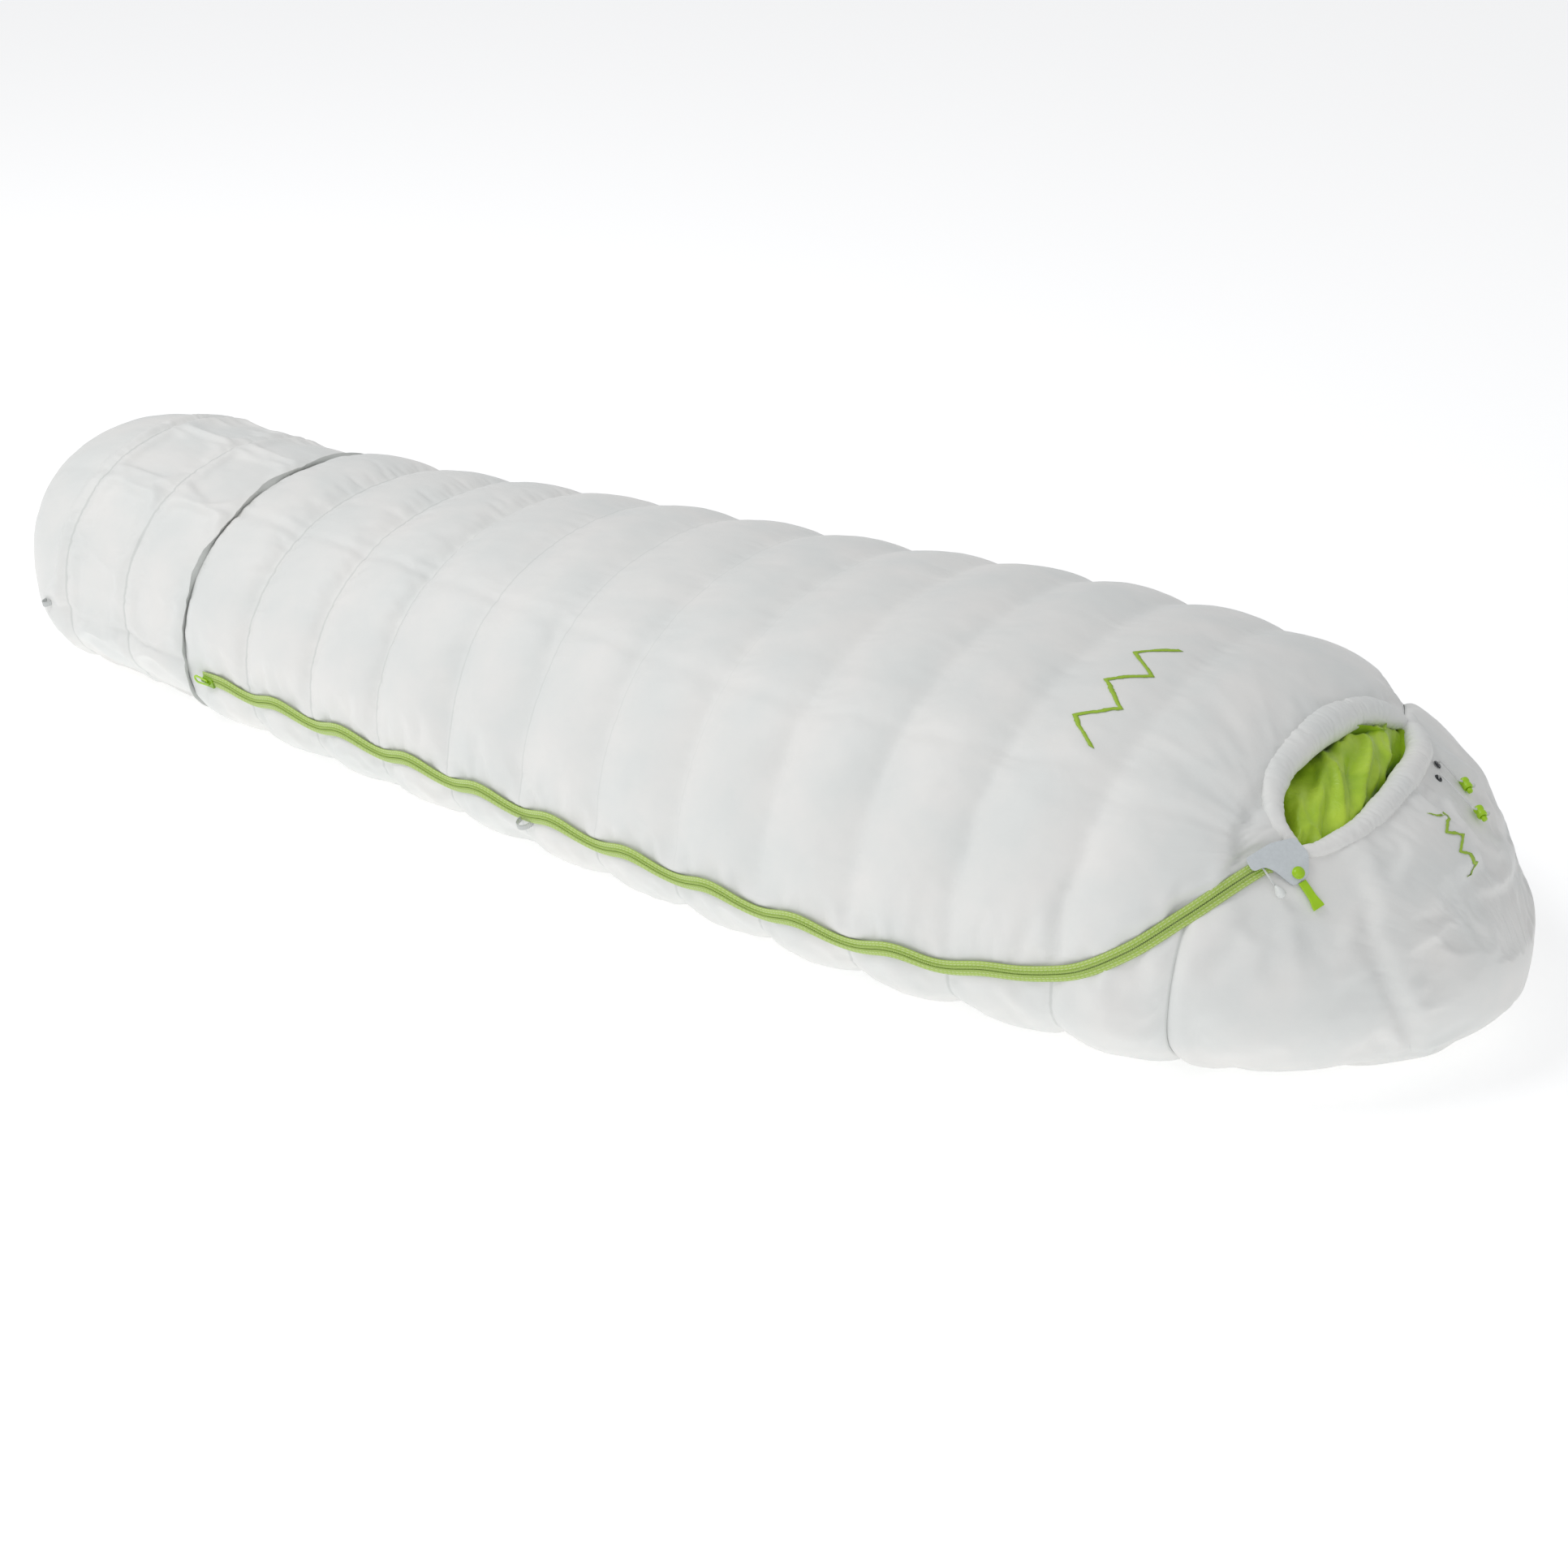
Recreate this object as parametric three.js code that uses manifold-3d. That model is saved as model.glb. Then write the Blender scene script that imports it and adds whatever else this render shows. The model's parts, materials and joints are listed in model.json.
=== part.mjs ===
// A down mummy sleeping bag that lies on its flat underside.
// Millimetres, +Z up, +X to the head, the zip on the -Y side, the fold of the cover on the +Y side.
import * as THREE from 'three';
import { mergeVertices } from 'three/addons/utils/BufferGeometryUtils.js';
import Module from 'manifold-3d';

const wasm = await Module();
wasm.setup();

// ---------- driving dimensions ----------

const footTipX = -1044;
const headTipX = 1045;
const baffleSpacing = 120;
const firstSeamX = -888;
const lastSeamX = firstSeamX + 13 * baffleSpacing;
const sideLean = 8;

// the plan and side outlines between the two round ends: [x, size]
const halfWidthAt = [[firstSeamX, 217], [-528, 252], [-168, 290], [192, 331], [432, 348], [lastSeamX, 334]];
const heightAt = [[firstSeamX, 303], [-528, 292], [-168, 315], [192, 330], [432, 345], [lastSeamX, 346]];
const sideHeightAt = [[firstSeamX, 120], [-528, 104], [72, 104], [432, 110], [lastSeamX, 115]];
const footTipRise = 40;
const headTipDrop = 27;
const footRoundness = 2.4;
const headRoundness = 1.8;
const headUnderRoundness = 5;
const topRoundness = 2.15;
const underRoundness = 2.6;
const ringsAtFoot = 4;
const ringsAtHead = 5;
const pointsAround = 20;

const mergeWithin = 0.06;
const weldWithin = 1e-3;

const fabric = 1;
const seamGap = 0.5;
const loft = { side: 44, top: 56, under: 28, end: 50 };
const shortenTo = { side: 348, top: 236, under: 112, end: 1045 };

const hingeX = 432;
const hingeY = 356;
const hingeZ = 105;
const hingeSlope = 0.085;
const coverFoot = -634;
const coverHead = 870;
const splitGap = 0.5;

// the height of the zip along the bag: [x, z]
const zipHeightAt = [[-700, 92], [-100, 92], [460, 95], [600, 110], [690, 134], [745, 168], [790, 207], [838, 246], [858, 249], [870, 276]];
const zipFootX = -612;
const zipTopX = 846;
const tapeWidth = 8.6;
const tapeThick = 1.2;
const coilRadius = 1.6;
const coilApart = 2.5;
const coilHeight = 3.8;

// small hardware
const sliderLength = 18;
const sliderWall = 1.8;
const sliderClear = 0.5;
const footSliderX = -598;
const topSliderX = 833;
const stopLength = 4;
const bailSpan = 8;
const bailWide = 3;
const bailHigh = 3;
const bailPost = 1.7;
const pullRod = 0.85;
const pullBar = 0.68;
const pullerLength = 26;
const pullerWide = 12;
const pullerHole = 7;
const lockRadius = 5.5;
const lockLength = 14;
const buttonRadius = 3.2;
const buttonLength = 8;
const buttonOut = 4.5;
const cordRadius = 1.25;
const fitGap = 0.4;

// the face opening from above, round its middle: [x, y]
const faceMiddle = [851, -24];
const faceOutline = [
  [8, -146], [-22, -136], [-43, -104], [-46, -40], [-40, 40], [-24, 112],
  [8, 146], [34, 112], [47, 40], [49, -28], [40, -90],
];
const rimRadius = 12;
const rimGap = 0.5;

const materials = {
  shell: ['#e4e3df', 0.62, 0],
  lining: ['#a6c51d', 0.38, 0],
  down: ['#f4f2ec', 0.95, 0],
  tape: ['#a9c450', 0.75, 0],
  coil: ['#7a9834', 0.5, 0],
  slider: ['#8fb02c', 0.4, 0.35],
  lime: ['#a5d61f', 0.45, 0],
  flap: ['#d3d9da', 0.6, 0],
  cord: ['#eceae4', 0.8, 0],
  bead: ['#e9e2c4', 0.4, 0],
  metal: ['#6f6d6a', 0.35, 0.9],
};

// ---------- small helpers ----------

const group = new THREE.Group();

function material(name) {
  const [color, roughness, metalness] = materials[name];
  return new THREE.MeshStandardMaterial({ color, roughness, metalness });
}

function solid(geometry) {
  const plain = geometry.clone();
  plain.deleteAttribute('normal');
  plain.deleteAttribute('uv');
  const merged = mergeVertices(plain, weldWithin);
  const vertProperties = new Float32Array(merged.attributes.position.array);
  const triVerts = new Uint32Array(merged.index.array);
  return new wasm.Manifold(new wasm.Mesh({ numProp: 3, vertProperties, triVerts }));
}

function geometryOf(shape) {
  const mesh = shape.getMesh();
  const geometry = new THREE.BufferGeometry();
  geometry.setAttribute('position', new THREE.BufferAttribute(mesh.vertProperties, 3));
  geometry.setIndex(new THREE.BufferAttribute(mesh.triVerts, 1));
  return geometry;
}

// the largest body of a shape becomes a node: the slivers that a cut leaves behind are dropped
function put(name, shape, materialName) {
  const simple = shape.asOriginal().simplify(mergeWithin);
  const bodies = solid(geometryOf(simple)).decompose();
  bodies.sort((a, b) => b.volume() - a.volume());
  const geometry = geometryOf(bodies[0]);
  geometry.computeVertexNormals();
  const node = new THREE.Mesh(geometry, material(materialName));
  node.name = name;
  group.add(node);
}

function remap(geometry, place) {
  const position = geometry.attributes.position;
  for (let i = 0; i < position.count; i += 1) {
    const moved = place(position.getX(i), position.getY(i), position.getZ(i));
    position.setXYZ(i, moved.x, moved.y, moved.z);
  }
  return geometry;
}

// a smooth curve through [x, value] rows, flat-sloped past both ends
function along(rows) {
  return (x) => {
    const last = rows.length - 1;
    if (x <= rows[0][0]) return rows[0][1];
    if (x >= rows[last][0]) return rows[last][1];
    let i = 0;
    while (x > rows[i + 1][0]) i += 1;
    const slope = (k) => {
      const a = Math.max(k - 1, 0);
      const b = Math.min(k + 1, last);
      return (rows[b][1] - rows[a][1]) / (rows[b][0] - rows[a][0]);
    };
    const span = rows[i + 1][0] - rows[i][0];
    const u = (x - rows[i][0]) / span;
    const keep = (1 + 2 * u) * (1 - u) ** 2;
    const lead = u * (1 - u) ** 2 * span * slope(i);
    const trail = u * u * (u - 1) * span * slope(i + 1);
    return keep * rows[i][1] + (1 - keep) * rows[i + 1][1] + lead + trail;
  };
}

function roundOff(u, power) {
  return Math.max(1 - u ** power, 0) ** (1 / power);
}

function power(value, exponent) {
  return Math.sign(value) * Math.abs(value) ** exponent;
}

// ---------- the outside form of the bag ----------

const midHalf = along(halfWidthAt);
const midHeight = along(heightAt);
const midSide = along(sideHeightAt);

function profile(x) {
  const middle = THREE.MathUtils.clamp(x, firstSeamX, lastSeamX);
  let side = midSide(middle);
  const rise = midHeight(middle) - side;
  let drop = side + sideLean;
  let shrink = 1;
  if (x < firstSeamX) {
    const u = Math.min((firstSeamX - x) / (firstSeamX - footTipX), 1);
    side += footTipRise * u * u;
    shrink = roundOff(u, footRoundness);
    drop = (side + sideLean) * shrink;
  }
  if (x > lastSeamX) {
    const u = Math.min((x - lastSeamX) / (headTipX - lastSeamX), 1);
    side -= headTipDrop * u;
    shrink = roundOff(u, headRoundness);
    drop = (side + sideLean) * roundOff(u, headUnderRoundness);
  }
  return { side, half: midHalf(middle) * shrink, rise: rise * shrink, drop };
}

// one point of the form, drawn in by a depth that may differ at the side, top, underside and ends
function formPoint(x, turn, inset) {
  const { side, half, rise, drop } = profile(x);
  const c = Math.cos(turn);
  const s = Math.sin(turn);
  const roundness = s >= 0 ? topRoundness : underRoundness;
  const y = power(c, 2 / roundness) * half * (1 - inset.side / shortenTo.side);
  const upScale = rise * (1 - inset.top / shortenTo.top);
  const downScale = drop * (1 - inset.under / shortenTo.under);
  const z = side + power(s, 2 / roundness) * (s >= 0 ? upScale : downScale);
  return new THREE.Vector3(x * (1 - inset.end / shortenTo.end), y, Math.max(z, inset.under));
}

function stationList() {
  const list = [footTipX];
  for (let i = ringsAtFoot - 1; i > 0; i -= 1) {
    list.push(firstSeamX - (firstSeamX - footTipX) * Math.sin((i / ringsAtFoot) * Math.PI / 2));
  }
  for (let x = firstSeamX; x <= lastSeamX; x += baffleSpacing) list.push(x);
  for (let i = 1; i < ringsAtHead; i += 1) {
    list.push(lastSeamX + (headTipX - lastSeamX) * Math.sin((i / ringsAtHead) * Math.PI / 2));
  }
  list.push(headTipX);
  return list;
}

// a sphere whose rings are set at the stations and whose poles are the two tips
function bagForm(inset) {
  const stations = stationList();
  const rings = stations.length - 1;
  const geometry = new THREE.SphereGeometry(1, pointsAround, rings);
  remap(geometry, (px, py, pz) => {
    const ring = Math.round(Math.acos(THREE.MathUtils.clamp(py, -1, 1)) / Math.PI * rings);
    const turn = Math.round(Math.atan2(pz, px) / (2 * Math.PI) * pointsAround) / pointsAround;
    const atTip = ring === 0 || ring === rings;
    return formPoint(stations[ring], atTip ? 0 : turn * 2 * Math.PI, inset);
  });
  return solid(geometry);
}

function evenInset(depth) {
  return { side: depth, top: depth, under: depth, end: depth };
}

function deeper(inset, depth) {
  return {
    side: inset.side + depth,
    top: inset.top + depth,
    under: inset.under + depth,
    end: inset.end + depth,
  };
}

// the outline of the faceted form at x, blended from the rings on both sides of it
function outlineAt(x) {
  const stations = stationList();
  let i = 0;
  while (i < stations.length - 2 && x > stations[i + 1]) i += 1;
  const u = (x - stations[i]) / (stations[i + 1] - stations[i]);
  const inset = evenInset(0);
  const points = [];
  for (let k = 0; k <= pointsAround; k += 1) {
    const turn = (k / pointsAround) * 2 * Math.PI;
    points.push(formPoint(stations[i], turn, inset).lerp(formPoint(stations[i + 1], turn, inset), u));
  }
  return points;
}

// the height of the top at x, y
function topZ(x, y) {
  const points = outlineAt(x).slice(0, pointsAround / 2 + 1);
  for (let k = 1; k < points.length; k += 1) {
    const [a, b] = [points[k - 1], points[k]];
    if (a.y >= y && b.y <= y) return a.z + (b.z - a.z) * ((y - a.y) / (b.y - a.y));
  }
  return points[0].z;
}

// where the near side lies at x, z
function nearSide(x, z) {
  const points = outlineAt(x);
  for (let k = pointsAround / 4 + 1; k <= 3 * pointsAround / 4; k += 1) {
    const [a, b] = [points[k - 1], points[k]];
    if (a.z >= z && b.z <= z) return a.y + (b.y - a.y) * ((z - a.z) / (b.z - a.z));
  }
  return 0;
}

// a frame on the near half of the form: point, outward normal
function nearFrame(x, z) {
  const point = new THREE.Vector3(x, nearSide(x, z), z);
  const step = 4;
  const alongX = new THREE.Vector3(2 * step, nearSide(x + step, z) - nearSide(x - step, z), 0);
  const alongZ = new THREE.Vector3(0, nearSide(x, z + step) - nearSide(x, z - step), 2 * step);
  return { point, normal: alongX.cross(alongZ).normalize() };
}

function topFrame(x, y) {
  const point = new THREE.Vector3(x, y, topZ(x, y));
  const step = 4;
  const alongX = new THREE.Vector3(2 * step, 0, topZ(x + step, y) - topZ(x - step, y));
  const alongY = new THREE.Vector3(0, 2 * step, topZ(x, y + step) - topZ(x, y - step));
  return { point, normal: alongX.cross(alongY).normalize() };
}

// ---------- the zip line ----------

const zipZ = along(zipHeightAt);

function zipFrame(x) {
  const { point, normal } = nearFrame(x, zipZ(x));
  const step = 3;
  const ahead = new THREE.Vector3(x + step, nearSide(x + step, zipZ(x + step)), zipZ(x + step));
  const behind = new THREE.Vector3(x - step, nearSide(x - step, zipZ(x - step)), zipZ(x - step));
  const forward = ahead.sub(behind).normalize();
  const up = new THREE.Vector3().crossVectors(normal, forward).normalize().negate();
  const out = new THREE.Vector3().crossVectors(forward, up).normalize();
  if (out.dot(normal) < 0) {
    up.negate();
    out.negate();
  }
  return { point, forward, up, out };
}

function offZip(x, upward, outward) {
  const { point, up, out } = zipFrame(x);
  return point.clone().addScaledVector(up, upward).addScaledVector(out, outward);
}

// ---------- the fold of the cover and the cut that parts it from the rest ----------

const hingeLength = Math.hypot(1, hingeSlope);
const hingeDirection = new THREE.Vector3(1 / hingeLength, hingeSlope / hingeLength, 0);
const hingeOutward = new THREE.Vector3(-hingeDirection.y, hingeDirection.x, 0);

function hingePoint(x) {
  return new THREE.Vector3(x, hingeY + (x - hingeX) * hingeSlope, hingeZ);
}

// the plane square to the fold that passes through a point of the zip
function coverSection(x) {
  const zip = new THREE.Vector3(x, nearSide(x, zipZ(x)), zipZ(x));
  const start = hingePoint(0);
  const travel = zip.clone().sub(start).dot(hingeDirection);
  const pivot = start.addScaledVector(hingeDirection, travel);
  return { pivot, reach: zip.sub(pivot) };
}

const cutPast = 1.2;
const cutTop = 700;
const cutBeyond = 60;
const cutStations = [-300, 0, 230, 460, 510, 560, 600, 640, 670, 700, 730, 760, 787, 800, 812, 832, 850, 858];

// the space above the cut; across each section it runs past the fold, the fold, the zip, past the zip
function coverCut(footX, headX, lift) {
  const between = cutStations.filter((x) => x > footX && x < headX);
  const stations = [footX, ...between, headX];
  const steps = stations.length - 1;
  const geometry = new THREE.BoxGeometry(1, 1, 1, steps, 3, 1);
  remap(geometry, (px, py, pz) => {
    const x = stations[Math.round((px + 0.5) * steps)];
    const across = Math.round((py + 0.5) * 3);
    const { pivot, reach } = coverSection(x);
    const spot = pivot.clone();
    if (across === 0) spot.addScaledVector(hingeOutward, cutBeyond);
    if (across === 2) spot.add(reach);
    if (across === 3) spot.addScaledVector(reach, cutPast);
    spot.z += lift;
    if (pz < 0) spot.z = cutTop;
    return spot;
  });
  return solid(geometry);
}

// the space on the head side or the foot side of a plane square to the fold
function foldSpace(x, towardHead, gap) {
  const size = 3000;
  const geometry = new THREE.BoxGeometry(size, size, size);
  geometry.translate(towardHead ? size / 2 + gap : -size / 2 - gap, 0, 0);
  geometry.rotateZ(Math.atan(hingeSlope));
  const { pivot } = coverSection(x);
  geometry.translate(pivot.x, pivot.y, 0);
  return solid(geometry);
}

// the space between two planes square to the bag
function slab(fromX, toX) {
  const wide = 2000;
  const geometry = new THREE.BoxGeometry(toX - fromX, wide, wide);
  geometry.translate((fromX + toX) / 2, 0, 0);
  return solid(geometry);
}

// ---------- the face opening ----------

function faceCurve(rise) {
  const points = faceOutline.map(([dx, dy]) => {
    const x = faceMiddle[0] + dx;
    const y = faceMiddle[1] + dy;
    return new THREE.Vector3(x, y, topZ(x, y) + rise);
  });
  return new THREE.CatmullRomCurve3(points, true);
}

const faceSteps = 30;
const faceFloor = 150;

function faceCut() {
  const outline = faceCurve(0).getSpacedPoints(faceSteps);
  const shape = new THREE.Shape(outline.slice(0, faceSteps).map((p) => new THREE.Vector2(p.x, p.y)));
  const geometry = new THREE.ExtrudeGeometry(shape, { depth: cutTop, bevelEnabled: false });
  geometry.translate(0, 0, faceFloor);
  return solid(geometry);
}

function roundSection(radius, sides) {
  const shape = new THREE.Shape();
  for (let i = 0; i < sides; i += 1) {
    const turn = (i + 0.5) / sides * 2 * Math.PI;
    const x = radius * Math.cos(turn);
    const y = radius * Math.sin(turn);
    if (i === 0) shape.moveTo(x, y);
    else shape.lineTo(x, y);
  }
  shape.closePath();
  return shape;
}

function tube(curve, radius, steps, sides) {
  return solid(new THREE.ExtrudeGeometry(roundSection(radius, sides), { steps, extrudePath: curve, bevelEnabled: false }));
}

function rimRoll(radius) {
  return tube(faceCurve(-rimRadius / 2), radius, faceSteps, 8);
}

// ---------- walls ----------

const shellInset = evenInset(0);
const downInset = deeper(shellInset, fabric + seamGap);
const downInnerInset = {
  side: downInset.side + loft.side,
  top: downInset.top + loft.top,
  under: downInset.under + loft.under,
  end: downInset.end + loft.end,
};
const liningInset = deeper(downInnerInset, seamGap);
const cavityInset = deeper(liningInset, fabric);
const opening = faceCut().add(rimRoll(rimRadius + rimGap));

function wall(outer, inner) {
  return bagForm(outer).subtract(bagForm(inner)).subtract(opening);
}

const shellWall = wall(shellInset, evenInset(fabric));
const downWall = wall(downInset, downInnerInset);
const liningWall = wall(liningInset, cavityInset);

const coverSpace = coverCut(coverFoot, coverHead, splitGap)
  .intersect(foldSpace(coverFoot, true, splitGap))
  .intersect(foldSpace(coverHead, false, splitGap));
const coverRoom = coverCut(coverFoot, coverHead, 0);
const footSpace = foldSpace(coverFoot, false, 0);
const pastFootSpace = foldSpace(coverFoot, true, splitGap).subtract(coverRoom);
const hoodSeamX = lastSeamX + baffleSpacing;
const hoodCrownX = hoodSeamX + 1.2 * baffleSpacing;
const hoodCrossZ = 165;
const beyond = 1500;
const halfGap = splitGap / 2;

function shellAndLining(name, space) {
  put(`${name}_shell`, shellWall.intersect(space), 'shell');
  put(`${name}_lining`, liningWall.intersect(space), 'lining');
}

function addPanels() {
  shellAndLining('cover', coverSpace);
  shellAndLining('foot', footSpace);
  shellAndLining('under', pastFootSpace.intersect(slab(-beyond, hoodSeamX - halfGap)));
  shellAndLining('hood', pastFootSpace.intersect(slab(hoodSeamX + halfGap, beyond)));
}

function addChambers(name, space, seams) {
  for (let i = 1; i < seams.length; i += 1) {
    const between = slab(seams[i - 1] + halfGap, seams[i] - halfGap);
    const number = String(i).padStart(2, '0');
    put(`${name}_down_${number}`, downWall.intersect(space).intersect(between), 'down');
  }
}

function seamsFrom(startX, endX, spacing) {
  const seams = [-beyond];
  for (let x = startX; x <= endX + 1; x += spacing) seams.push(x);
  return seams;
}

function addDown() {
  const thirdSeamX = firstSeamX + 3 * baffleSpacing;
  addChambers('cover', coverSpace, [...seamsFrom(thirdSeamX, lastSeamX, baffleSpacing), beyond]);
  addChambers('foot', footSpace, [...seamsFrom(firstSeamX, firstSeamX + baffleSpacing, baffleSpacing), beyond]);
  const underSpace = pastFootSpace.intersect(slab(-beyond, hoodSeamX));
  addChambers('under', underSpace, seamsFrom(thirdSeamX + baffleSpacing, hoodSeamX, 2 * baffleSpacing));
  const hoodSpace = pastFootSpace.intersect(slab(hoodSeamX, beyond));
  const crown = hoodSpace.intersect(slab(hoodCrownX + halfGap, beyond));
  addChambers('hood', hoodSpace, [hoodSeamX, hoodCrownX]);
  const cross = new THREE.BoxGeometry(2 * beyond, 2 * beyond, beyond);
  cross.translate(0, 0, hoodCrossZ + beyond / 2 + halfGap);
  const above = solid(cross);
  put('hood_down_upper', downWall.intersect(crown).intersect(above), 'down');
  const below = above.translate([0, 0, -beyond - splitGap]);
  put('hood_down_lower', downWall.intersect(crown).intersect(below), 'down');
}

// ---------- soft rolls inside and at the face ----------

const collarFrom = 695;
const collarTo = 775;
const collarDepth = 36;
const draftDepth = 22;
const draftWidth = 60;
const draftTo = 685;

function insideLayer(depth) {
  const start = deeper(cavityInset, seamGap);
  return bagForm(start).subtract(bagForm(deeper(start, depth)));
}

function addRolls() {
  const roll = rimRoll(rimRadius);
  put('cover_rim_roll', roll.intersect(coverSpace), 'shell');
  put('hood_rim_roll', roll.subtract(coverRoom), 'shell');
  const collar = insideLayer(collarDepth).intersect(coverSpace).intersect(slab(collarFrom, collarTo));
  put('neck_collar', collar, 'lining');
  const nearHalf = new THREE.BoxGeometry(4 * beyond, beyond, 2 * beyond);
  nearHalf.translate(0, -beyond / 2, 0);
  const band = coverCut(coverFoot + baffleSpacing / 2, draftTo, splitGap)
    .subtract(coverCut(coverFoot - 1, draftTo + 1, draftWidth))
    .intersect(solid(nearHalf));
  put('draft_tube', insideLayer(draftDepth).intersect(band), 'lining');
}

// ---------- zip chain ----------

const tapeLift = 0.4;
const zipSteps = 52;
const tapeTop = tapeLift + tapeThick;
const coilSides = 6;

function bandAlongZip(fromX, toX, low, high) {
  const reach = 12;
  const geometry = new THREE.BoxGeometry(1, 1, 1, zipSteps, 1, 1);
  remap(geometry, (px, py, pz) => {
    const x = fromX + (px + 0.5) * (toX - fromX);
    return offZip(x, py > 0 ? high : low, pz > 0 ? reach : -reach);
  });
  return solid(geometry);
}

function coil(fromX, toX, upward) {
  const points = [];
  for (let i = 0; i <= zipSteps; i += 1) {
    points.push(offZip(fromX + (i / zipSteps) * (toX - fromX), upward, coilHeight));
  }
  const whole = tube(new THREE.CatmullRomCurve3(points), coilRadius, zipSteps, coilSides);
  return whole.subtract(bagForm(evenInset(-tapeTop - tapeLift)));
}

// how far along X a distance along the zip reaches
function zipStepX(x, distance) {
  return zipFrame(x).forward.x * distance;
}

function addZip() {
  const onShell = bagForm(evenInset(-tapeTop)).subtract(bagForm(evenInset(-tapeLift)));
  const band = bandAlongZip(zipFootX, zipTopX, -tapeWidth, tapeWidth);
  const tape = onShell.intersect(band);
  const endRoom = sliderLength / 2 + 1;
  const coverCoilX = footSliderX + zipStepX(footSliderX, endRoom);
  const underCoilX = topSliderX - zipStepX(topSliderX, endRoom);
  put('zip_tape_cover', tape.intersect(coverSpace), 'tape');
  put('zip_tape_under', tape.subtract(coverRoom), 'tape');
  put('zip_coil_cover', coil(coverCoilX, topSliderX + zipStepX(topSliderX, endRoom), coilApart), 'coil');
  put('zip_coil_under', coil(footSliderX - zipStepX(footSliderX, endRoom), underCoilX, -coilApart), 'coil');
}

// ---------- zip hardware, in frames that run along, up across and out from the zip ----------

function frameMatrix(point, forward, up, out) {
  return new THREE.Matrix4().makeBasis(forward, up, out).setPosition(point);
}

function zipMatrix(x) {
  const { point, forward, up, out } = zipFrame(x);
  return frameMatrix(point, forward, up, out);
}

function block(from, to) {
  const geometry = new THREE.BoxGeometry(to[0] - from[0], to[1] - from[1], to[2] - from[2]);
  geometry.translate((from[0] + to[0]) / 2, (from[1] + to[1]) / 2, (from[2] + to[2]) / 2);
  return solid(geometry);
}

function placed(shape, matrix) {
  return shape.transform(matrix.elements);
}

const channelHalf = coilApart + coilRadius + sliderClear;
const channelTop = coilHeight + coilRadius + sliderClear;
const plateTop = channelTop + sliderWall;
const sliderHalf = channelHalf + sliderWall;
const rodHeight = plateTop + (bailHigh - 1) / 2 + 0.1;

function slider() {
  const half = sliderLength / 2;
  const body = block([-half, -sliderHalf, tapeTop + fitGap], [half, sliderHalf, plateTop]);
  const channel = block([-half - 1, -channelHalf, 0], [half + 1, channelHalf, channelTop]);
  const arch = block([-bailSpan / 2, -bailWide / 2, plateTop - 0.5], [bailSpan / 2, bailWide / 2, plateTop + bailHigh]);
  const inner = bailSpan / 2 - bailPost;
  const hole = block([-inner, -bailWide, plateTop], [inner, bailWide, plateTop + bailHigh - 0.9]);
  return body.subtract(channel).add(arch.subtract(hole));
}

function stop(upward) {
  const half = stopLength / 2;
  const low = upward > 0 ? 0.7 : -channelHalf;
  const high = upward > 0 ? channelHalf : -0.7;
  return block([-half, low, tapeTop + fitGap], [half, high, channelTop]);
}

// a flat ring whose end bar lies in the slider's arch
function puller() {
  const outline = new THREE.Shape();
  const round = pullerWide / 2;
  outline.moveTo(pullBar, -3.6);
  outline.lineTo(pullBar, 3.6);
  outline.lineTo(-1, 4.6);
  outline.lineTo(-pullerLength + round, round);
  outline.absarc(-pullerLength + round, 0, round, Math.PI / 2, 1.5 * Math.PI, false);
  outline.lineTo(-1, -4.6);
  const gap = new THREE.Path();
  const innerRound = pullerHole / 2;
  gap.moveTo(-pullBar, -2.4);
  gap.lineTo(-pullBar, 2.4);
  gap.lineTo(-pullerLength + round, innerRound);
  gap.absarc(-pullerLength + round, 0, innerRound, Math.PI / 2, 1.5 * Math.PI, false);
  outline.holes.push(gap);
  const geometry = new THREE.ExtrudeGeometry(outline, { depth: 2 * pullBar, bevelEnabled: false, curveSegments: 8 });
  geometry.translate(0, 0, rodHeight - pullBar);
  return solid(geometry);
}

const pullCordLength = 34;
const beadRadius = 4.5;
const knobRadius = 1.04;

// a short cord through the slider's arch with a bead at its end
function beadPull() {
  const rod = new THREE.CylinderGeometry(pullRod, pullRod, pullCordLength + 3, 8);
  rod.translate(0, -pullCordLength / 2 + 1.5, rodHeight);
  const bead = new THREE.SphereGeometry(beadRadius, 12, 8);
  bead.translate(0, -pullCordLength, rodHeight);
  const knob = new THREE.SphereGeometry(knobRadius, 8, 6);
  knob.translate(0, 3, rodHeight);
  return solid(rod).add(solid(bead)).add(solid(knob));
}

function addSliders() {
  const foot = zipMatrix(footSliderX);
  const top = zipMatrix(topSliderX);
  const endX = sliderLength / 2 + 2 + stopLength;
  put('foot_slider', placed(slider(), foot), 'slider');
  put('foot_puller', placed(puller(), foot), 'lime');
  put('top_slider', placed(slider(), top), 'slider');
  put('top_pull', placed(beadPull(), top), 'bead');
  put('foot_stop', placed(stop(-1), zipMatrix(footSliderX - zipStepX(footSliderX, endX))), 'coil');
  put('top_stop', placed(stop(1), zipMatrix(topSliderX + zipStepX(topSliderX, endX))), 'coil');
}

// ---------- the flap over the top of the zip ----------

const flapHinge = { up: 12, out: 14.5 };
const flapSlope = 0.25;
const flapThick = 2;
const flapOutline = [[-12, 12], [20, 12], [46, 4], [50, -16], [38, -34], [18, -36], [9, -14], [2, -5], [-12, -3]];
const flapHem = { from: -8, to: 18, thick: 2 };
const snapSpot = [29, -27];
const snapRadius = 6.5;
const snapHigh = 3;
const studRadius = 4.2;
const studHigh = 3.2;
const tabLength = 32;
const tabWide = 10;
const tabThick = 2.4;
const tabSpot = [28, -35.4];

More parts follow.
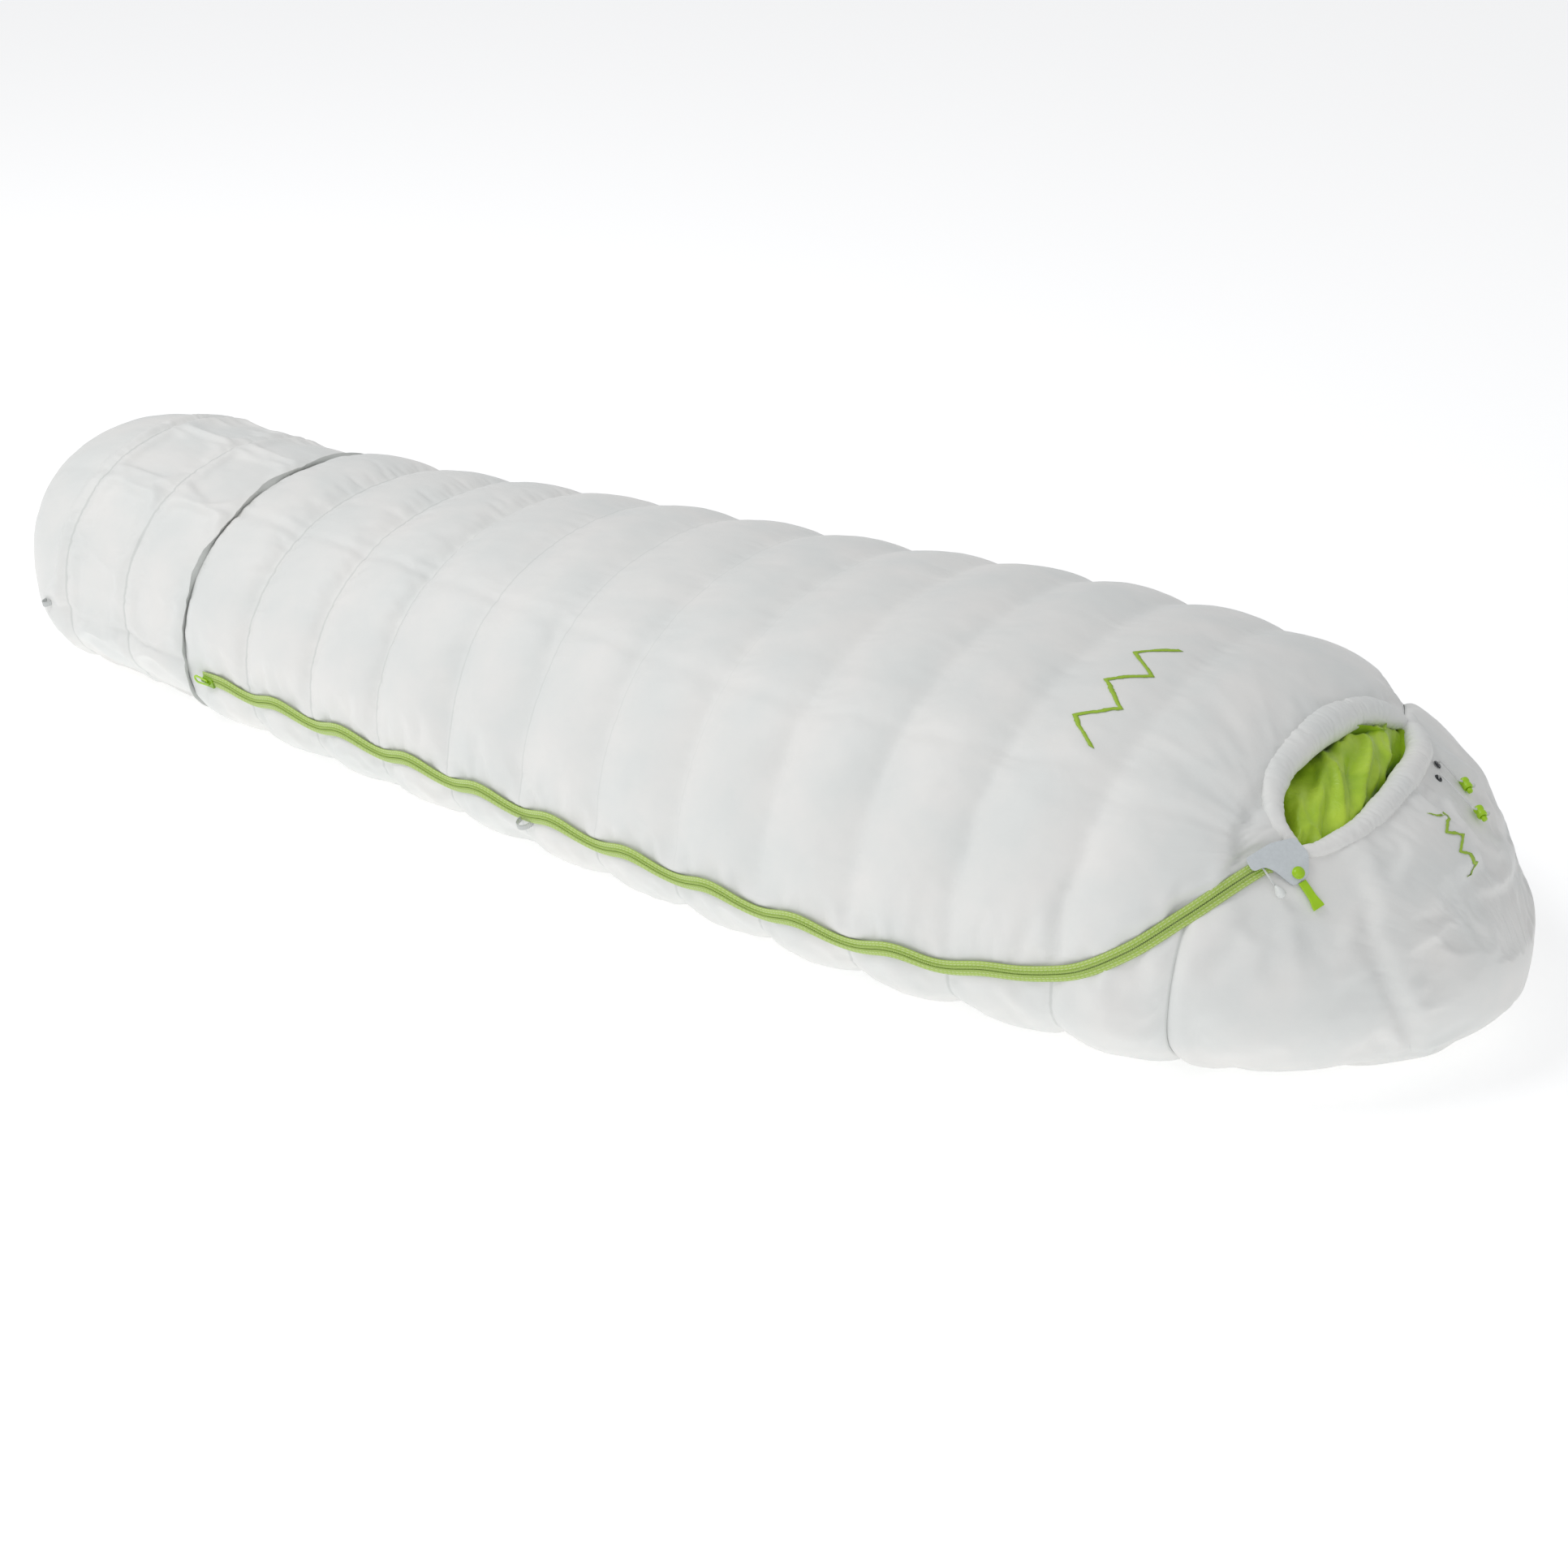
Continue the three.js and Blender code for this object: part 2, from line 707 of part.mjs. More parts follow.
function flapHeight(up) {
  return flapHinge.out + (up - flapHinge.up) * flapSlope;
}

function tilted(geometry) {
  return remap(geometry, (x, y, z) => new THREE.Vector3(x, y, z + flapHeight(y)));
}

function flap() {
  const shape = new THREE.Shape(flapOutline.map(([x, y]) => new THREE.Vector2(x, y)));
  const sheet = solid(tilted(new THREE.ExtrudeGeometry(shape, { depth: flapThick, bevelEnabled: false })));
  const hemLow = tapeTop;
  const hem = block(
    [flapHem.from, flapHinge.up - flapHem.thick, hemLow],
    [flapHem.to, flapHinge.up, flapHinge.out + 0.5],
  );
  return sheet.add(hem);
}

function snapCap() {
  const cap = new THREE.LatheGeometry([
    new THREE.Vector2(0, 0),
    new THREE.Vector2(snapRadius, 0),
    new THREE.Vector2(snapRadius, 1.6),
    new THREE.Vector2(snapRadius - 1.6, snapHigh),
    new THREE.Vector2(0, snapHigh),
  ], 16);
  cap.rotateX(Math.PI / 2);
  cap.translate(snapSpot[0], snapSpot[1], flapThick + fitGap);
  return solid(tilted(cap));
}

function snapStud() {
  const stud = new THREE.CylinderGeometry(studRadius, studRadius, studHigh, 12);
  stud.rotateX(Math.PI / 2);
  stud.translate(snapSpot[0], snapSpot[1], fitGap + studHigh / 2);
  return solid(stud);
}

function pullTab() {
  const [x, y] = tabSpot;
  const low = flapHeight(y);
  return block([x - tabWide / 2, y - tabLength, low - 0.4], [x + tabWide / 2, y - fitGap, low - 0.4 + tabThick]);
}

function addFlap() {
  const top = zipMatrix(topSliderX);
  put('zip_flap', placed(flap(), top), 'flap');
  put('snap_cap', placed(snapCap(), top), 'lime');
  put('snap_stud', placed(snapStud(), top), 'lime');
  put('pull_tab', placed(pullTab(), top), 'lime');
}

// ---------- hood cords, their eyelets and locks ----------

const eyelets = [[908, 84], [918, 62]];
const locks = [[934, 96], [962, 68]];
const eyeletOuter = 5;
const eyeletInner = 2;
const eyeletHigh = 1.2;

function topMatrix(x, y, towardX, towardY) {
  const { point, normal } = topFrame(x, y);
  const forward = new THREE.Vector3(towardX, towardY, 0);
  forward.addScaledVector(normal, -forward.dot(normal)).normalize();
  const side = new THREE.Vector3().crossVectors(normal, forward);
  return frameMatrix(point, forward, side, normal);
}

function eyelet() {
  const ring = new THREE.LatheGeometry([
    new THREE.Vector2(eyeletInner, fitGap),
    new THREE.Vector2(eyeletOuter, fitGap),
    new THREE.Vector2(eyeletOuter - 0.6, fitGap + eyeletHigh),
    new THREE.Vector2(eyeletInner, fitGap + eyeletHigh),
    new THREE.Vector2(eyeletInner, fitGap),
  ], 16);
  ring.rotateX(Math.PI / 2);
  return solid(ring);
}

const lockHeight = lockRadius + fitGap;
const boreDepth = buttonLength - buttonOut + 3;

function rod(radius, fromX, toX, sides) {
  const geometry = new THREE.CylinderGeometry(radius, radius, toX - fromX, sides);
  geometry.rotateZ(Math.PI / 2);
  geometry.translate((fromX + toX) / 2, 0, lockHeight);
  return solid(geometry);
}

function crossHole() {
  const geometry = new THREE.CylinderGeometry(cordRadius + fitGap, cordRadius + fitGap, 4 * lockRadius, 10);
  geometry.translate(cordSpot, 0, lockHeight);
  return solid(geometry);
}

const cordSpot = -lockLength / 2 + 4;

function lockBody() {
  const end = lockLength / 2;
  const bore = rod(buttonRadius + fitGap, end - boreDepth, end + 1, 12);
  return rod(lockRadius, -end, end, 14).subtract(bore).subtract(crossHole());
}

function lockButton() {
  const end = lockLength / 2;
  return rod(buttonRadius, end + buttonOut - buttonLength, end + buttonOut, 12);
}

// from an eyelet, through the lock, to a knotted end; the middle points are in the lock's own frame
function cord(eyeletAt, lockMatrix) {
  const start = topFrame(...eyeletAt);
  const toWorld = (x, y, z) => new THREE.Vector3(x, y, z).applyMatrix4(lockMatrix);
  const points = [
    start.point.clone().addScaledVector(start.normal, fitGap + cordRadius),
    start.point.clone().addScaledVector(start.normal, 6),
    toWorld(cordSpot - 3, -24, lockHeight + 2),
    toWorld(cordSpot, -15, lockHeight),
    toWorld(cordSpot, 0, lockHeight),
    toWorld(cordSpot, 15, lockHeight),
    toWorld(cordSpot, 20, lockHeight),
  ];
  const line = tube(new THREE.CatmullRomCurve3(points, false, 'centripetal'), cordRadius, 24, 8);
  const knot = new THREE.SphereGeometry(2.4, 10, 8);
  knot.translate(...toWorld(cordSpot, 20, lockHeight).toArray());
  return line.add(solid(knot));
}

function addHoodCords() {
  for (let i = 0; i < eyelets.length; i += 1) {
    const side = topMatrix(...eyelets[i], 1, 0);
    const lock = topMatrix(...locks[i], 0.9, -0.3);
    put(`eyelet_${i + 1}`, placed(eyelet(), side), 'metal');
    put(`hood_cord_${i + 1}`, cord(eyelets[i], lock), 'cord');
    put(`cord_lock_${i + 1}`, placed(lockBody(), lock), 'lime');
    put(`lock_button_${i + 1}`, placed(lockButton(), lock), 'lime');
  }
}

// ---------- sewn loops on the near side seam ----------

const loopSpots = [['foot_loop', -930, 112, 15, 12], ['side_loop', -38, 78, 16, 18]];
const loopBand = 3.5;
const loopThick = 1.6;

function loop(high, wide) {
  const outline = new THREE.Shape();
  outline.moveTo(-wide / 2, 0);
  outline.lineTo(wide / 2, 0);
  outline.lineTo(wide / 4, high);
  outline.lineTo(-wide / 4, high);
  const gap = new THREE.Path();
  gap.moveTo(-wide / 2 + loopBand + 1, loopBand);
  gap.lineTo(wide / 2 - loopBand - 1, loopBand);
  gap.lineTo(wide / 4 - loopBand / 2, high - loopBand);
  gap.lineTo(-wide / 4 + loopBand / 2, high - loopBand);
  outline.holes.push(gap);
  const geometry = new THREE.ExtrudeGeometry(outline, { depth: loopThick, bevelEnabled: false });
  geometry.translate(0, fitGap, -loopThick / 2);
  geometry.rotateX(Math.PI / 2);
  return solid(geometry);
}

function addLoops() {
  for (const [name, x, z, high, wide] of loopSpots) {
    const { point, normal } = nearFrame(x, z);
    const across = new THREE.Vector3(0, 0, 1);
    across.addScaledVector(normal, -across.dot(normal)).normalize();
    const forward = new THREE.Vector3().crossVectors(across, normal);
    put(name, placed(loop(high, wide), frameMatrix(point, forward, across, normal)), 'cord');
  }
}

addPanels();
addDown();
addRolls();
addZip();
addSliders();
addFlap();
addHoodCords();
addLoops();

export default group;
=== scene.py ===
import json
import math
from functools import lru_cache

import bmesh
import bpy
import numpy as np
from mathutils import Matrix, Vector, noise
from mathutils.bvhtree import BVHTree

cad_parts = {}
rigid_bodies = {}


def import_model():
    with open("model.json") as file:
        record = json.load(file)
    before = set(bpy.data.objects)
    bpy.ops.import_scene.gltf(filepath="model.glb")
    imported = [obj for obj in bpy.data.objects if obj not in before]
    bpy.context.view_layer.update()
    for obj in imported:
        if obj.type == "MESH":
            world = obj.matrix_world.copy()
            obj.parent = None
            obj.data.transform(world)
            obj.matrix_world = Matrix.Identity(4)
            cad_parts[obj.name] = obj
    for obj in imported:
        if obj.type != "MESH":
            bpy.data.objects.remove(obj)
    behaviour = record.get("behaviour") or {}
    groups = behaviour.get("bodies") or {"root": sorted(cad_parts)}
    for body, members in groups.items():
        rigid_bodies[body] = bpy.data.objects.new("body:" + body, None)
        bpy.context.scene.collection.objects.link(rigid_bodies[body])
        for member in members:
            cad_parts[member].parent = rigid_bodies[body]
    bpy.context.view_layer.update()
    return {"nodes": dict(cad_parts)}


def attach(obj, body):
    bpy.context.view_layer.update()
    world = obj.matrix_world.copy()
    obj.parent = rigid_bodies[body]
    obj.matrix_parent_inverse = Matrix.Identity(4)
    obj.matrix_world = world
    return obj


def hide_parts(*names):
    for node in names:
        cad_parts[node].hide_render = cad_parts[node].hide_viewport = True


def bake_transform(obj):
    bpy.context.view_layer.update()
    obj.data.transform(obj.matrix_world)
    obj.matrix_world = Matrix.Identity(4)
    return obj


for leftover in list(bpy.data.objects):
    bpy.data.objects.remove(leftover)
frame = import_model()
scene = bpy.context.scene


# ---------- camera, floor and light ----------
# The bag lies on a pale floor under two large soft lights and an even white sky.

lens = bpy.data.cameras.new("camera")
lens.lens = 59.63
lens.sensor_width = 36.0
lens.clip_end = 60.0
camera = bpy.data.objects.new("camera", lens)
camera.location = (1.6884, -2.3666, 1.5233)
camera.rotation_euler = (math.radians(90 - 27.563), 0.0, math.radians(33.442))
scene.collection.objects.link(camera)
scene.camera = camera
scene.view_settings.view_transform = "Standard"

floor_mesh = bpy.data.meshes.new("floor")
bm = bmesh.new()
bmesh.ops.create_grid(bm, x_segments=1, y_segments=1, size=30.0)
bmesh.ops.translate(bm, verts=bm.verts, vec=(0.0, 0.0, -0.001))
bm.to_mesh(floor_mesh)
bm.free()
floor = bpy.data.objects.new("floor", floor_mesh)
scene.collection.objects.link(floor)
floor_paint = bpy.data.materials.new("pale_floor")
floor_paint.use_nodes = True
floor_shader = floor_paint.node_tree.nodes["Principled BSDF"]
floor_shader.inputs["Base Color"].default_value = (0.86, 0.86, 0.86, 1.0)
floor_shader.inputs["Roughness"].default_value = 0.9
floor_shader.inputs["Emission Color"].default_value = (1.0, 1.0, 1.0, 1.0)
floor_shader.inputs["Emission Strength"].default_value = 0.42
floor_mesh.materials.append(floor_paint)

world = bpy.data.worlds.new("studio")
scene.world = world
world.use_nodes = True
world.node_tree.nodes["Background"].inputs["Color"].default_value = (0.97, 0.98, 1.0, 1.0)
world.node_tree.nodes["Background"].inputs["Strength"].default_value = 0.52


def soft_light(name, at, toward, size, watts):
    data = bpy.data.lights.new(name, "AREA")
    data.shape = "DISK"
    data.size = size
    data.energy = watts
    lamp = bpy.data.objects.new(name, data)
    lamp.location = at
    lamp.rotation_euler = (Vector(toward) - Vector(at)).to_track_quat("-Z", "Y").to_euler()
    scene.collection.objects.link(lamp)


soft_light("key_light", (-1.6, -1.2, 3.4), (0.0, 0.0, 0.1), 2.2, 54.0)
soft_light("front_light", (2.2, -3.6, 2.2), (0.3, 0.0, 0.1), 2.4, 18.0)


# ---------- hood cords ----------
# Two round elastic cords, 2.5 mm thick, leave their eyelets beside the face opening, run through
# the cord locks and end in a knot.

cord_routes = {
    1: [
        (0.9090, 0.0844, 0.2557), (0.9117, 0.0855, 0.2590), (0.9278, 0.0813, 0.2499),
        (0.9312, 0.0867, 0.2426), (0.9354, 0.0990, 0.2352), (0.9395, 0.1114, 0.2277),
        (0.9408, 0.1155, 0.2252),
    ],
    2: [
        (0.9190, 0.0621, 0.2515), (0.9215, 0.0625, 0.2550), (0.9558, 0.0533, 0.2367),
        (0.9592, 0.0587, 0.2294), (0.9634, 0.0710, 0.2219), (0.9675, 0.0834, 0.2145),
        (0.9688, 0.0875, 0.2120),
    ],
}
cord_radius = 0.00125
knot_radius = 0.0024


def even_route(points, count):
    """count points spaced evenly along a smooth curve through the given ones"""
    knots = [Vector(p) for p in points]
    fine = []
    for i in range(len(knots) - 1):
        before = knots[max(i - 1, 0)]
        after = knots[min(i + 2, len(knots) - 1)]
        for k in range(12):
            t = k / 12
            lead = (knots[i + 1] - before) * 0.5
            trail = (after - knots[i]) * 0.5
            keep = (1 + 2 * t) * (1 - t) ** 2
            spot = knots[i] * keep + knots[i + 1] * (1 - keep)
            fine.append(spot + lead * (t * (1 - t) ** 2) + trail * (t * t * (t - 1)))
    fine.append(knots[-1])
    travel = [0.0]
    for a, b in zip(fine, fine[1:]):
        travel.append(travel[-1] + (b - a).length)
    spots = []
    for k in range(count):
        want = travel[-1] * k / (count - 1)
        i = max(j for j in range(len(travel) - 1) if travel[j] <= want)
        share = (want - travel[i]) / max(travel[i + 1] - travel[i], 1e-9)
        spots.append(fine[i].lerp(fine[i + 1], share))
    return spots


def route_frames(spots, lean=(0.0, 0.0, 1.0)):
    """for each point the forward, side and up directions, turned as little as possible"""
    frames = []
    up = Vector(lean)
    for i, spot in enumerate(spots):
        ahead = spots[min(i + 1, len(spots) - 1)]
        behind = spots[max(i - 1, 0)]
        forward = (ahead - behind).normalized()
        side = up.cross(forward).normalized()
        up = forward.cross(side).normalized()
        frames.append((forward, side, up))
    return frames


def new_paint(name, **values):
    """a material, its shader set to the values given, and the object coordinates"""
    paint = bpy.data.materials.new(name)
    paint.use_nodes = True
    shader = paint.node_tree.nodes["Principled BSDF"]
    for socket, value in values.items():
        shader.inputs[socket.replace("_", " ")].default_value = value
    return paint, shader, paint.node_tree.nodes.new("ShaderNodeTexCoord").outputs["Object"]


def add_node(paint, kind, **values):
    """a node whose inputs take plain values or another node's output"""
    node = paint.node_tree.nodes.new("ShaderNode" + kind)
    for socket, value in values.items():
        entry = node.inputs[socket.replace("_", " ")]
        if isinstance(value, bpy.types.NodeSocket):
            paint.node_tree.links.new(value, entry)
        else:
            entry.default_value = value
    return node


def join(paint, shader, colour, bump):
    paint.node_tree.links.new(colour.outputs[0], shader.inputs["Base Color"])
    paint.node_tree.links.new(bump.outputs["Normal"], shader.inputs["Normal"])
    return paint


def braid_material(name, colour):
    paint, shader, spot = new_paint(name, Roughness=0.75, Sheen_Weight=0.3)
    braid = add_node(paint, "TexWave", Scale=520.0, Distortion=2.0, Detail_Scale=3.0, Vector=spot).outputs["Fac"]
    tone = add_node(paint, "MixRGB", Fac=braid, Color1=(*[c * 0.72 for c in colour], 1.0), Color2=(*colour, 1.0))
    return join(paint, shader, tone, add_node(paint, "Bump", Strength=0.5, Distance=0.0004, Height=braid))


def add_piece(name, bm, material, smooth=True):
    mesh = bpy.data.meshes.new(name)
    bm.to_mesh(mesh)
    bm.free()
    mesh.materials.append(material)
    mesh.polygons.foreach_set("use_smooth", [smooth] * len(mesh.polygons))
    piece = bpy.data.objects.new(name, mesh)
    scene.collection.objects.link(piece)
    return piece


def tube_along(bm, spots, radius, sides=10, cap=True, lean=(0.0, 0.0, 1.0)):
    """a round tube swept through the points, one ring extruded from the last"""
    frames = route_frames(spots, lean)
    ring = bmesh.ops.create_circle(bm, segments=sides, radius=1.0, cap_ends=False)["verts"]
    shape = [v.co.copy() for v in ring]
    first = ring
    for i, spot in enumerate(spots):
        if i > 0:
            edges = list({e for v in ring for e in v.link_edges if all(w in ring for w in e.verts)})
            made = bmesh.ops.extrude_edge_only(bm, edges=edges)["geom"]
            fresh = [g for g in made if isinstance(g, bmesh.types.BMVert)]
            order = {}
            for v in fresh:
                for e in v.link_edges:
                    other = e.other_vert(v)
                    if other in ring:
                        order[ring.index(other)] = v
            ring = [order[k] for k in range(sides)]
        size = radius(i / (len(spots) - 1)) if callable(radius) else radius
        forward, side, up = frames[i]
        for v, s in zip(ring, shape):
            v.co = spot + side * (s.x * size) + up * (s.y * size)
    if cap:
        bmesh.ops.contextual_create(bm, geom=first)
        bmesh.ops.contextual_create(bm, geom=ring)


white_braid = braid_material("white_braid", (0.80, 0.81, 0.80))
for number, route in cord_routes.items():
    spots = even_route(route, 22)
    bm = bmesh.new()
    tube_along(bm, spots, cord_radius)
    knot = bmesh.ops.create_uvsphere(bm, u_segments=14, v_segments=10, radius=knot_radius)["verts"]
    bmesh.ops.scale(bm, verts=knot, vec=(1.0, 0.86, 1.12))
    bmesh.ops.translate(bm, verts=knot, vec=spots[-1])
    bmesh.ops.recalc_face_normals(bm, faces=bm.faces)
    piece = add_piece(f"hood_cord_braid_{number}", bm, white_braid)
    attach(piece, "bag")
    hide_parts(f"hood_cord_{number}")


# ---------- outer shell ----------
# Thin white ripstop nylon over down. It is sewn across into chambers 120 mm apart, in four panels:
# the cover above the zip, the under side, the foot end and the hood.

foot_tip, head_tip = -1.044, 1.045
chamber = 0.120
first_seam, last_seam, hood_seam = -0.888, 0.672, 0.792
foot_seam = first_seam + 2 * chamber
side_lean = 0.008
half_width_at = [[-0.888, 0.217], [-0.528, 0.252], [-0.168, 0.290], [0.192, 0.331], [0.432, 0.348], [0.672, 0.334]]
height_at = [[-0.888, 0.303], [-0.528, 0.292], [-0.168, 0.315], [0.192, 0.330], [0.432, 0.345], [0.672, 0.346]]
side_height_at = [[-0.888, 0.120], [-0.528, 0.104], [0.072, 0.104], [0.432, 0.110], [0.672, 0.115]]
zip_height_at = [
    [-0.700, 0.092], [-0.100, 0.092], [0.460, 0.095], [0.600, 0.110], [0.690, 0.134],
    [0.745, 0.168], [0.790, 0.207], [0.838, 0.246], [0.858, 0.249], [0.870, 0.276],
]
foot_tip_rise, head_tip_drop = 0.040, 0.027
foot_roundness, head_roundness, head_under_roundness = 2.4, 1.8, 5.0
top_roundness, under_roundness = 2.15, 2.6
shorten_to = {"side": 0.348, "top": 0.236, "under": 0.112, "end": 1.045}
no_inset = {"side": 0.0, "top": 0.0, "under": 0.0, "end": 0.0}
puff = 0.0095


def along(rows):
    """a smooth curve through [x, value] rows, level past both ends"""
    last = len(rows) - 1

    def slope(k):
        a, b = max(k - 1, 0), min(k + 1, last)
        return (rows[b][1] - rows[a][1]) / (rows[b][0] - rows[a][0])

    slopes = [slope(k) for k in range(last + 1)]

    def value(x):
        if x <= rows[0][0]:
            return rows[0][1]
        if x >= rows[last][0]:
            return rows[last][1]
        i = 0
        while x > rows[i + 1][0]:
            i += 1
        span = rows[i + 1][0] - rows[i][0]
        u = (x - rows[i][0]) / span
        keep = (1 + 2 * u) * (1 - u) ** 2
        lead = u * (1 - u) ** 2 * span * slopes[i]
        trail = u * u * (u - 1) * span * slopes[i + 1]
        return keep * rows[i][1] + (1 - keep) * rows[i + 1][1] + lead + trail

    return value


def round_off(u, power):
    return max(1 - u**power, 0.0) ** (1 / power)


half_width, height, side_height = along(half_width_at), along(height_at), along(side_height_at)
zip_height = along(zip_height_at)


@lru_cache(maxsize=None)
def profile(x):
    """side height, half width, rise and drop of the bag's section at x"""
    middle = min(max(x, first_seam), last_seam)
    side = side_height(middle)
    rise = height(middle) - side
    drop = side + side_lean
    shrink = 1.0
    if x < first_seam:
        u = min((first_seam - x) / (first_seam - foot_tip), 1.0)
        side += foot_tip_rise * u * u
        shrink = round_off(u, foot_roundness)
        drop = (side + side_lean) * shrink
    if x > last_seam:
        u = min((x - last_seam) / (head_tip - last_seam), 1.0)
        side -= head_tip_drop * u
        shrink = round_off(u, head_roundness)
        drop = (side + side_lean) * round_off(u, head_under_roundness)
    return side, half_width(middle) * shrink, rise * shrink, drop


def form_point(x, turn, inset=no_inset):
    """a point of the bag's form; turn 0 is the far side, a quarter the top, a half the near side"""
    side, half, rise, drop = profile(x)
    c, s = math.cos(turn), math.sin(turn)
    power = 2 / (top_roundness if s >= 0 else under_roundness)
    y = math.copysign(abs(c) ** power, c) * half * (1 - inset["side"] / shorten_to["side"])
    if s >= 0:
        z = side + s**power * rise * (1 - inset["top"] / shorten_to["top"])
    else:
        z = side - (-s) ** power * drop * (1 - inset["under"] / shorten_to["under"])
    return Vector((x * (1 - inset["end"] / shorten_to["end"]), y, max(z, inset["under"])))


@lru_cache(maxsize=None)
def girth(x):
    """turns and travelled lengths round the section at x, from the far side over the top"""
    turns = np.linspace(0.0, 2 * math.pi, 241)
    spots = np.array([form_point(x, t) for t in turns])
    steps = np.linalg.norm(np.diff(spots, axis=0), axis=1)
    return turns, np.concatenate([[0.0], np.cumsum(steps)])


def turn_after(x, travel):
    turns, lengths = girth(round(x, 4))
    return float(np.interp(travel, lengths, turns))


def travel_to(x, turn):
    turns, lengths = girth(round(x, 4))
    return float(np.interp(turn, turns, lengths))


def zip_wave(x):
    """1 at the middle of a chamber, -1 on a seam, fading out toward both ends of the zip"""
    fade = min(max((x + 0.62) / 0.07, 0.0), 1.0) * min(max((0.64 - x) / 0.12, 0.0), 1.0)
    return fade * math.cos(2 * math.pi * (x - first_seam - chamber / 2) / chamber)


@lru_cache(maxsize=None)
def zip_turn(x):
    """the turn at which the near side passes the zip's height"""
    want = zip_height(x) + 0.007 * zip_wave(x)
    low, high = math.pi / 2, 1.5 * math.pi - 0.2
    for _ in range(40):
        middle = (low + high) / 2
        if form_point(x, middle).z > want:
            low = middle
        else:
            high = middle
    return (low + high) / 2


def form_normal(x, turn):
    step = 0.002
    far = min(x + step, head_tip - 1e-4)
    near = max(x - step, foot_tip + 1e-4)
    lengthwise = form_point(far, turn) - form_point(near, turn)
    around = form_point(x, turn + 0.012) - form_point(x, turn - 0.012)
    normal = around.cross(lengthwise)
    if normal.length < 1e-12:
        return Vector((1.0 if x > 0 else -1.0, 0.0, 0.0))
    return normal.normalized()


opening_foot_edge = [
    (-0.170, 0.8590), (-0.162, 0.8322), (-0.1407, 0.8133), (-0.1106, 0.8050), (-0.0776, 0.8047),
    (-0.0441, 0.8056), (-0.0105, 0.8079), (0.0229, 0.8120), (0.0559, 0.8171), (0.0871, 0.8265),
    (0.1124, 0.8432), (0.1214, 0.8545),
]
opening_head_edge = [
    (-0.170, 0.8590), (-0.1582, 0.8706), (-0.1436, 0.8789), (-0.1127, 0.8915), (-0.0798, 0.8980),
    (-0.0464, 0.9003), (-0.0128, 0.9002), (0.0208, 0.8975), (0.0543, 0.8936), (0.0870, 0.8854),
    (0.1158, 0.8684), (0.1214, 0.8545),
]


def turn_on_top(x, y):
    """the turn of the top's point at y"""
    low, high = 0.0, math.pi
    for _ in range(40):
        middle = (low + high) / 2
        if form_point(x, middle).y > y:
            low = middle
        else:
            high = middle
    return (low + high) / 2


def cover_head_line():
    """turns and x of the cover's head edge, from the far side to the zip's top end"""
    rows = [(0.0, hood_seam), (0.30, hood_seam + 0.002), (0.62, 0.806)]
    far_side = [(turn_on_top(x, y), x) for y, x in reversed(opening_foot_edge)]
    for turn, x in far_side:
        if turn > rows[-1][0] + 0.02:
            rows.append((turn, x))
    return rows


def hood_foot_line():
    """turns and x of the hood's foot edge all the way round"""
    rows = [(0.0, hood_seam), (0.30, hood_seam + 0.002), (0.62, 0.806)]
    head_side = [(turn_on_top(x, y), x) for y, x in reversed(opening_head_edge)]
    for turn, x in head_side:
        if turn > rows[-1][0] + 0.02:
            rows.append((turn, x))
    for x in (0.846, 0.838, 0.820, 0.805, 0.796):
        turn = zip_turn(x)
        if turn > rows[-1][0] + 0.01:
            rows.append((turn, x))
    rows.append((zip_turn(hood_seam), hood_seam))
    rows.append((2 * math.pi, hood_seam))
    return rows


cover_head = cover_head_line()
hood_foot = hood_foot_line()
head_shares = [travel_to(x, t) / travel_to(x, zip_turn(x)) for t, x in cover_head]
head_shares[-1] = 1.0
head_x = [x for _, x in cover_head]


def smooth_step(value, low, high):
    t = min(max((value - low) / (high - low), 0.0), 1.0)
    return t * t * (3 - 2 * t)


def swell(share):
    """the round rise of a chamber between its two seams"""
    return max(1 - (2 * share - 1) ** 2, 0.0)


def zip_lift(x):
    return 0.0035 * zip_wave(x) - 0.001


def lay_cloth(name, columns, rows, place, joined=False):
    """a flat grid laid on the form; place gives x, turn, lift, pinned and the surface coordinates"""
    bm = bmesh.new()
    bmesh.ops.create_grid(bm, x_segments=columns, y_segments=rows, size=0.5)
    along_layer = bm.verts.layers.float.new("along")
    across_layer = bm.verts.layers.float.new("across")
    seam_layer = bm.verts.layers.float.new("seam_gap")
    edge_layer = bm.verts.layers.float.new("edge_gap")
    pin_layer = bm.verts.layers.float.new("pinned")
    border_layer = bm.verts.layers.float.new("border_gap")
    for v in bm.verts:
        spot, x, across, seam_gap, edge_gap, pinned = place(v.co.x + 0.5, v.co.y + 0.5)
        v[along_layer] = x
        v[across_layer] = across
        v[seam_layer] = seam_gap
        v[edge_layer] = edge_gap
        v[pin_layer] = pinned
        ends = min(v.co.x + 0.5, 0.5 - v.co.x) if not joined else v.co.x + 0.5
        sides = min(v.co.y + 0.5, 0.5 - v.co.y) if not joined else 1.0
        v[border_layer] = min(ends * columns * 0.008, sides * rows * 0.008)
        if joined:
            v[border_layer] = min(v[border_layer], (0.5 - v.co.x) * columns * 0.002)
        v.co = spot
    if joined:
        bmesh.ops.remove_doubles(bm, verts=bm.verts, dist=2e-5)
    bmesh.ops.dissolve_degenerate(bm, dist=1e-6, edges=bm.edges)
    return bm


def at_chamber(x):
    """share of the way through the chamber and distance to its nearer seam"""
    share = ((x - first_seam) / chamber) % 1.0
    if share > 0.99999:
        share = 0.0
    return share, min(share, 1 - share) * chamber


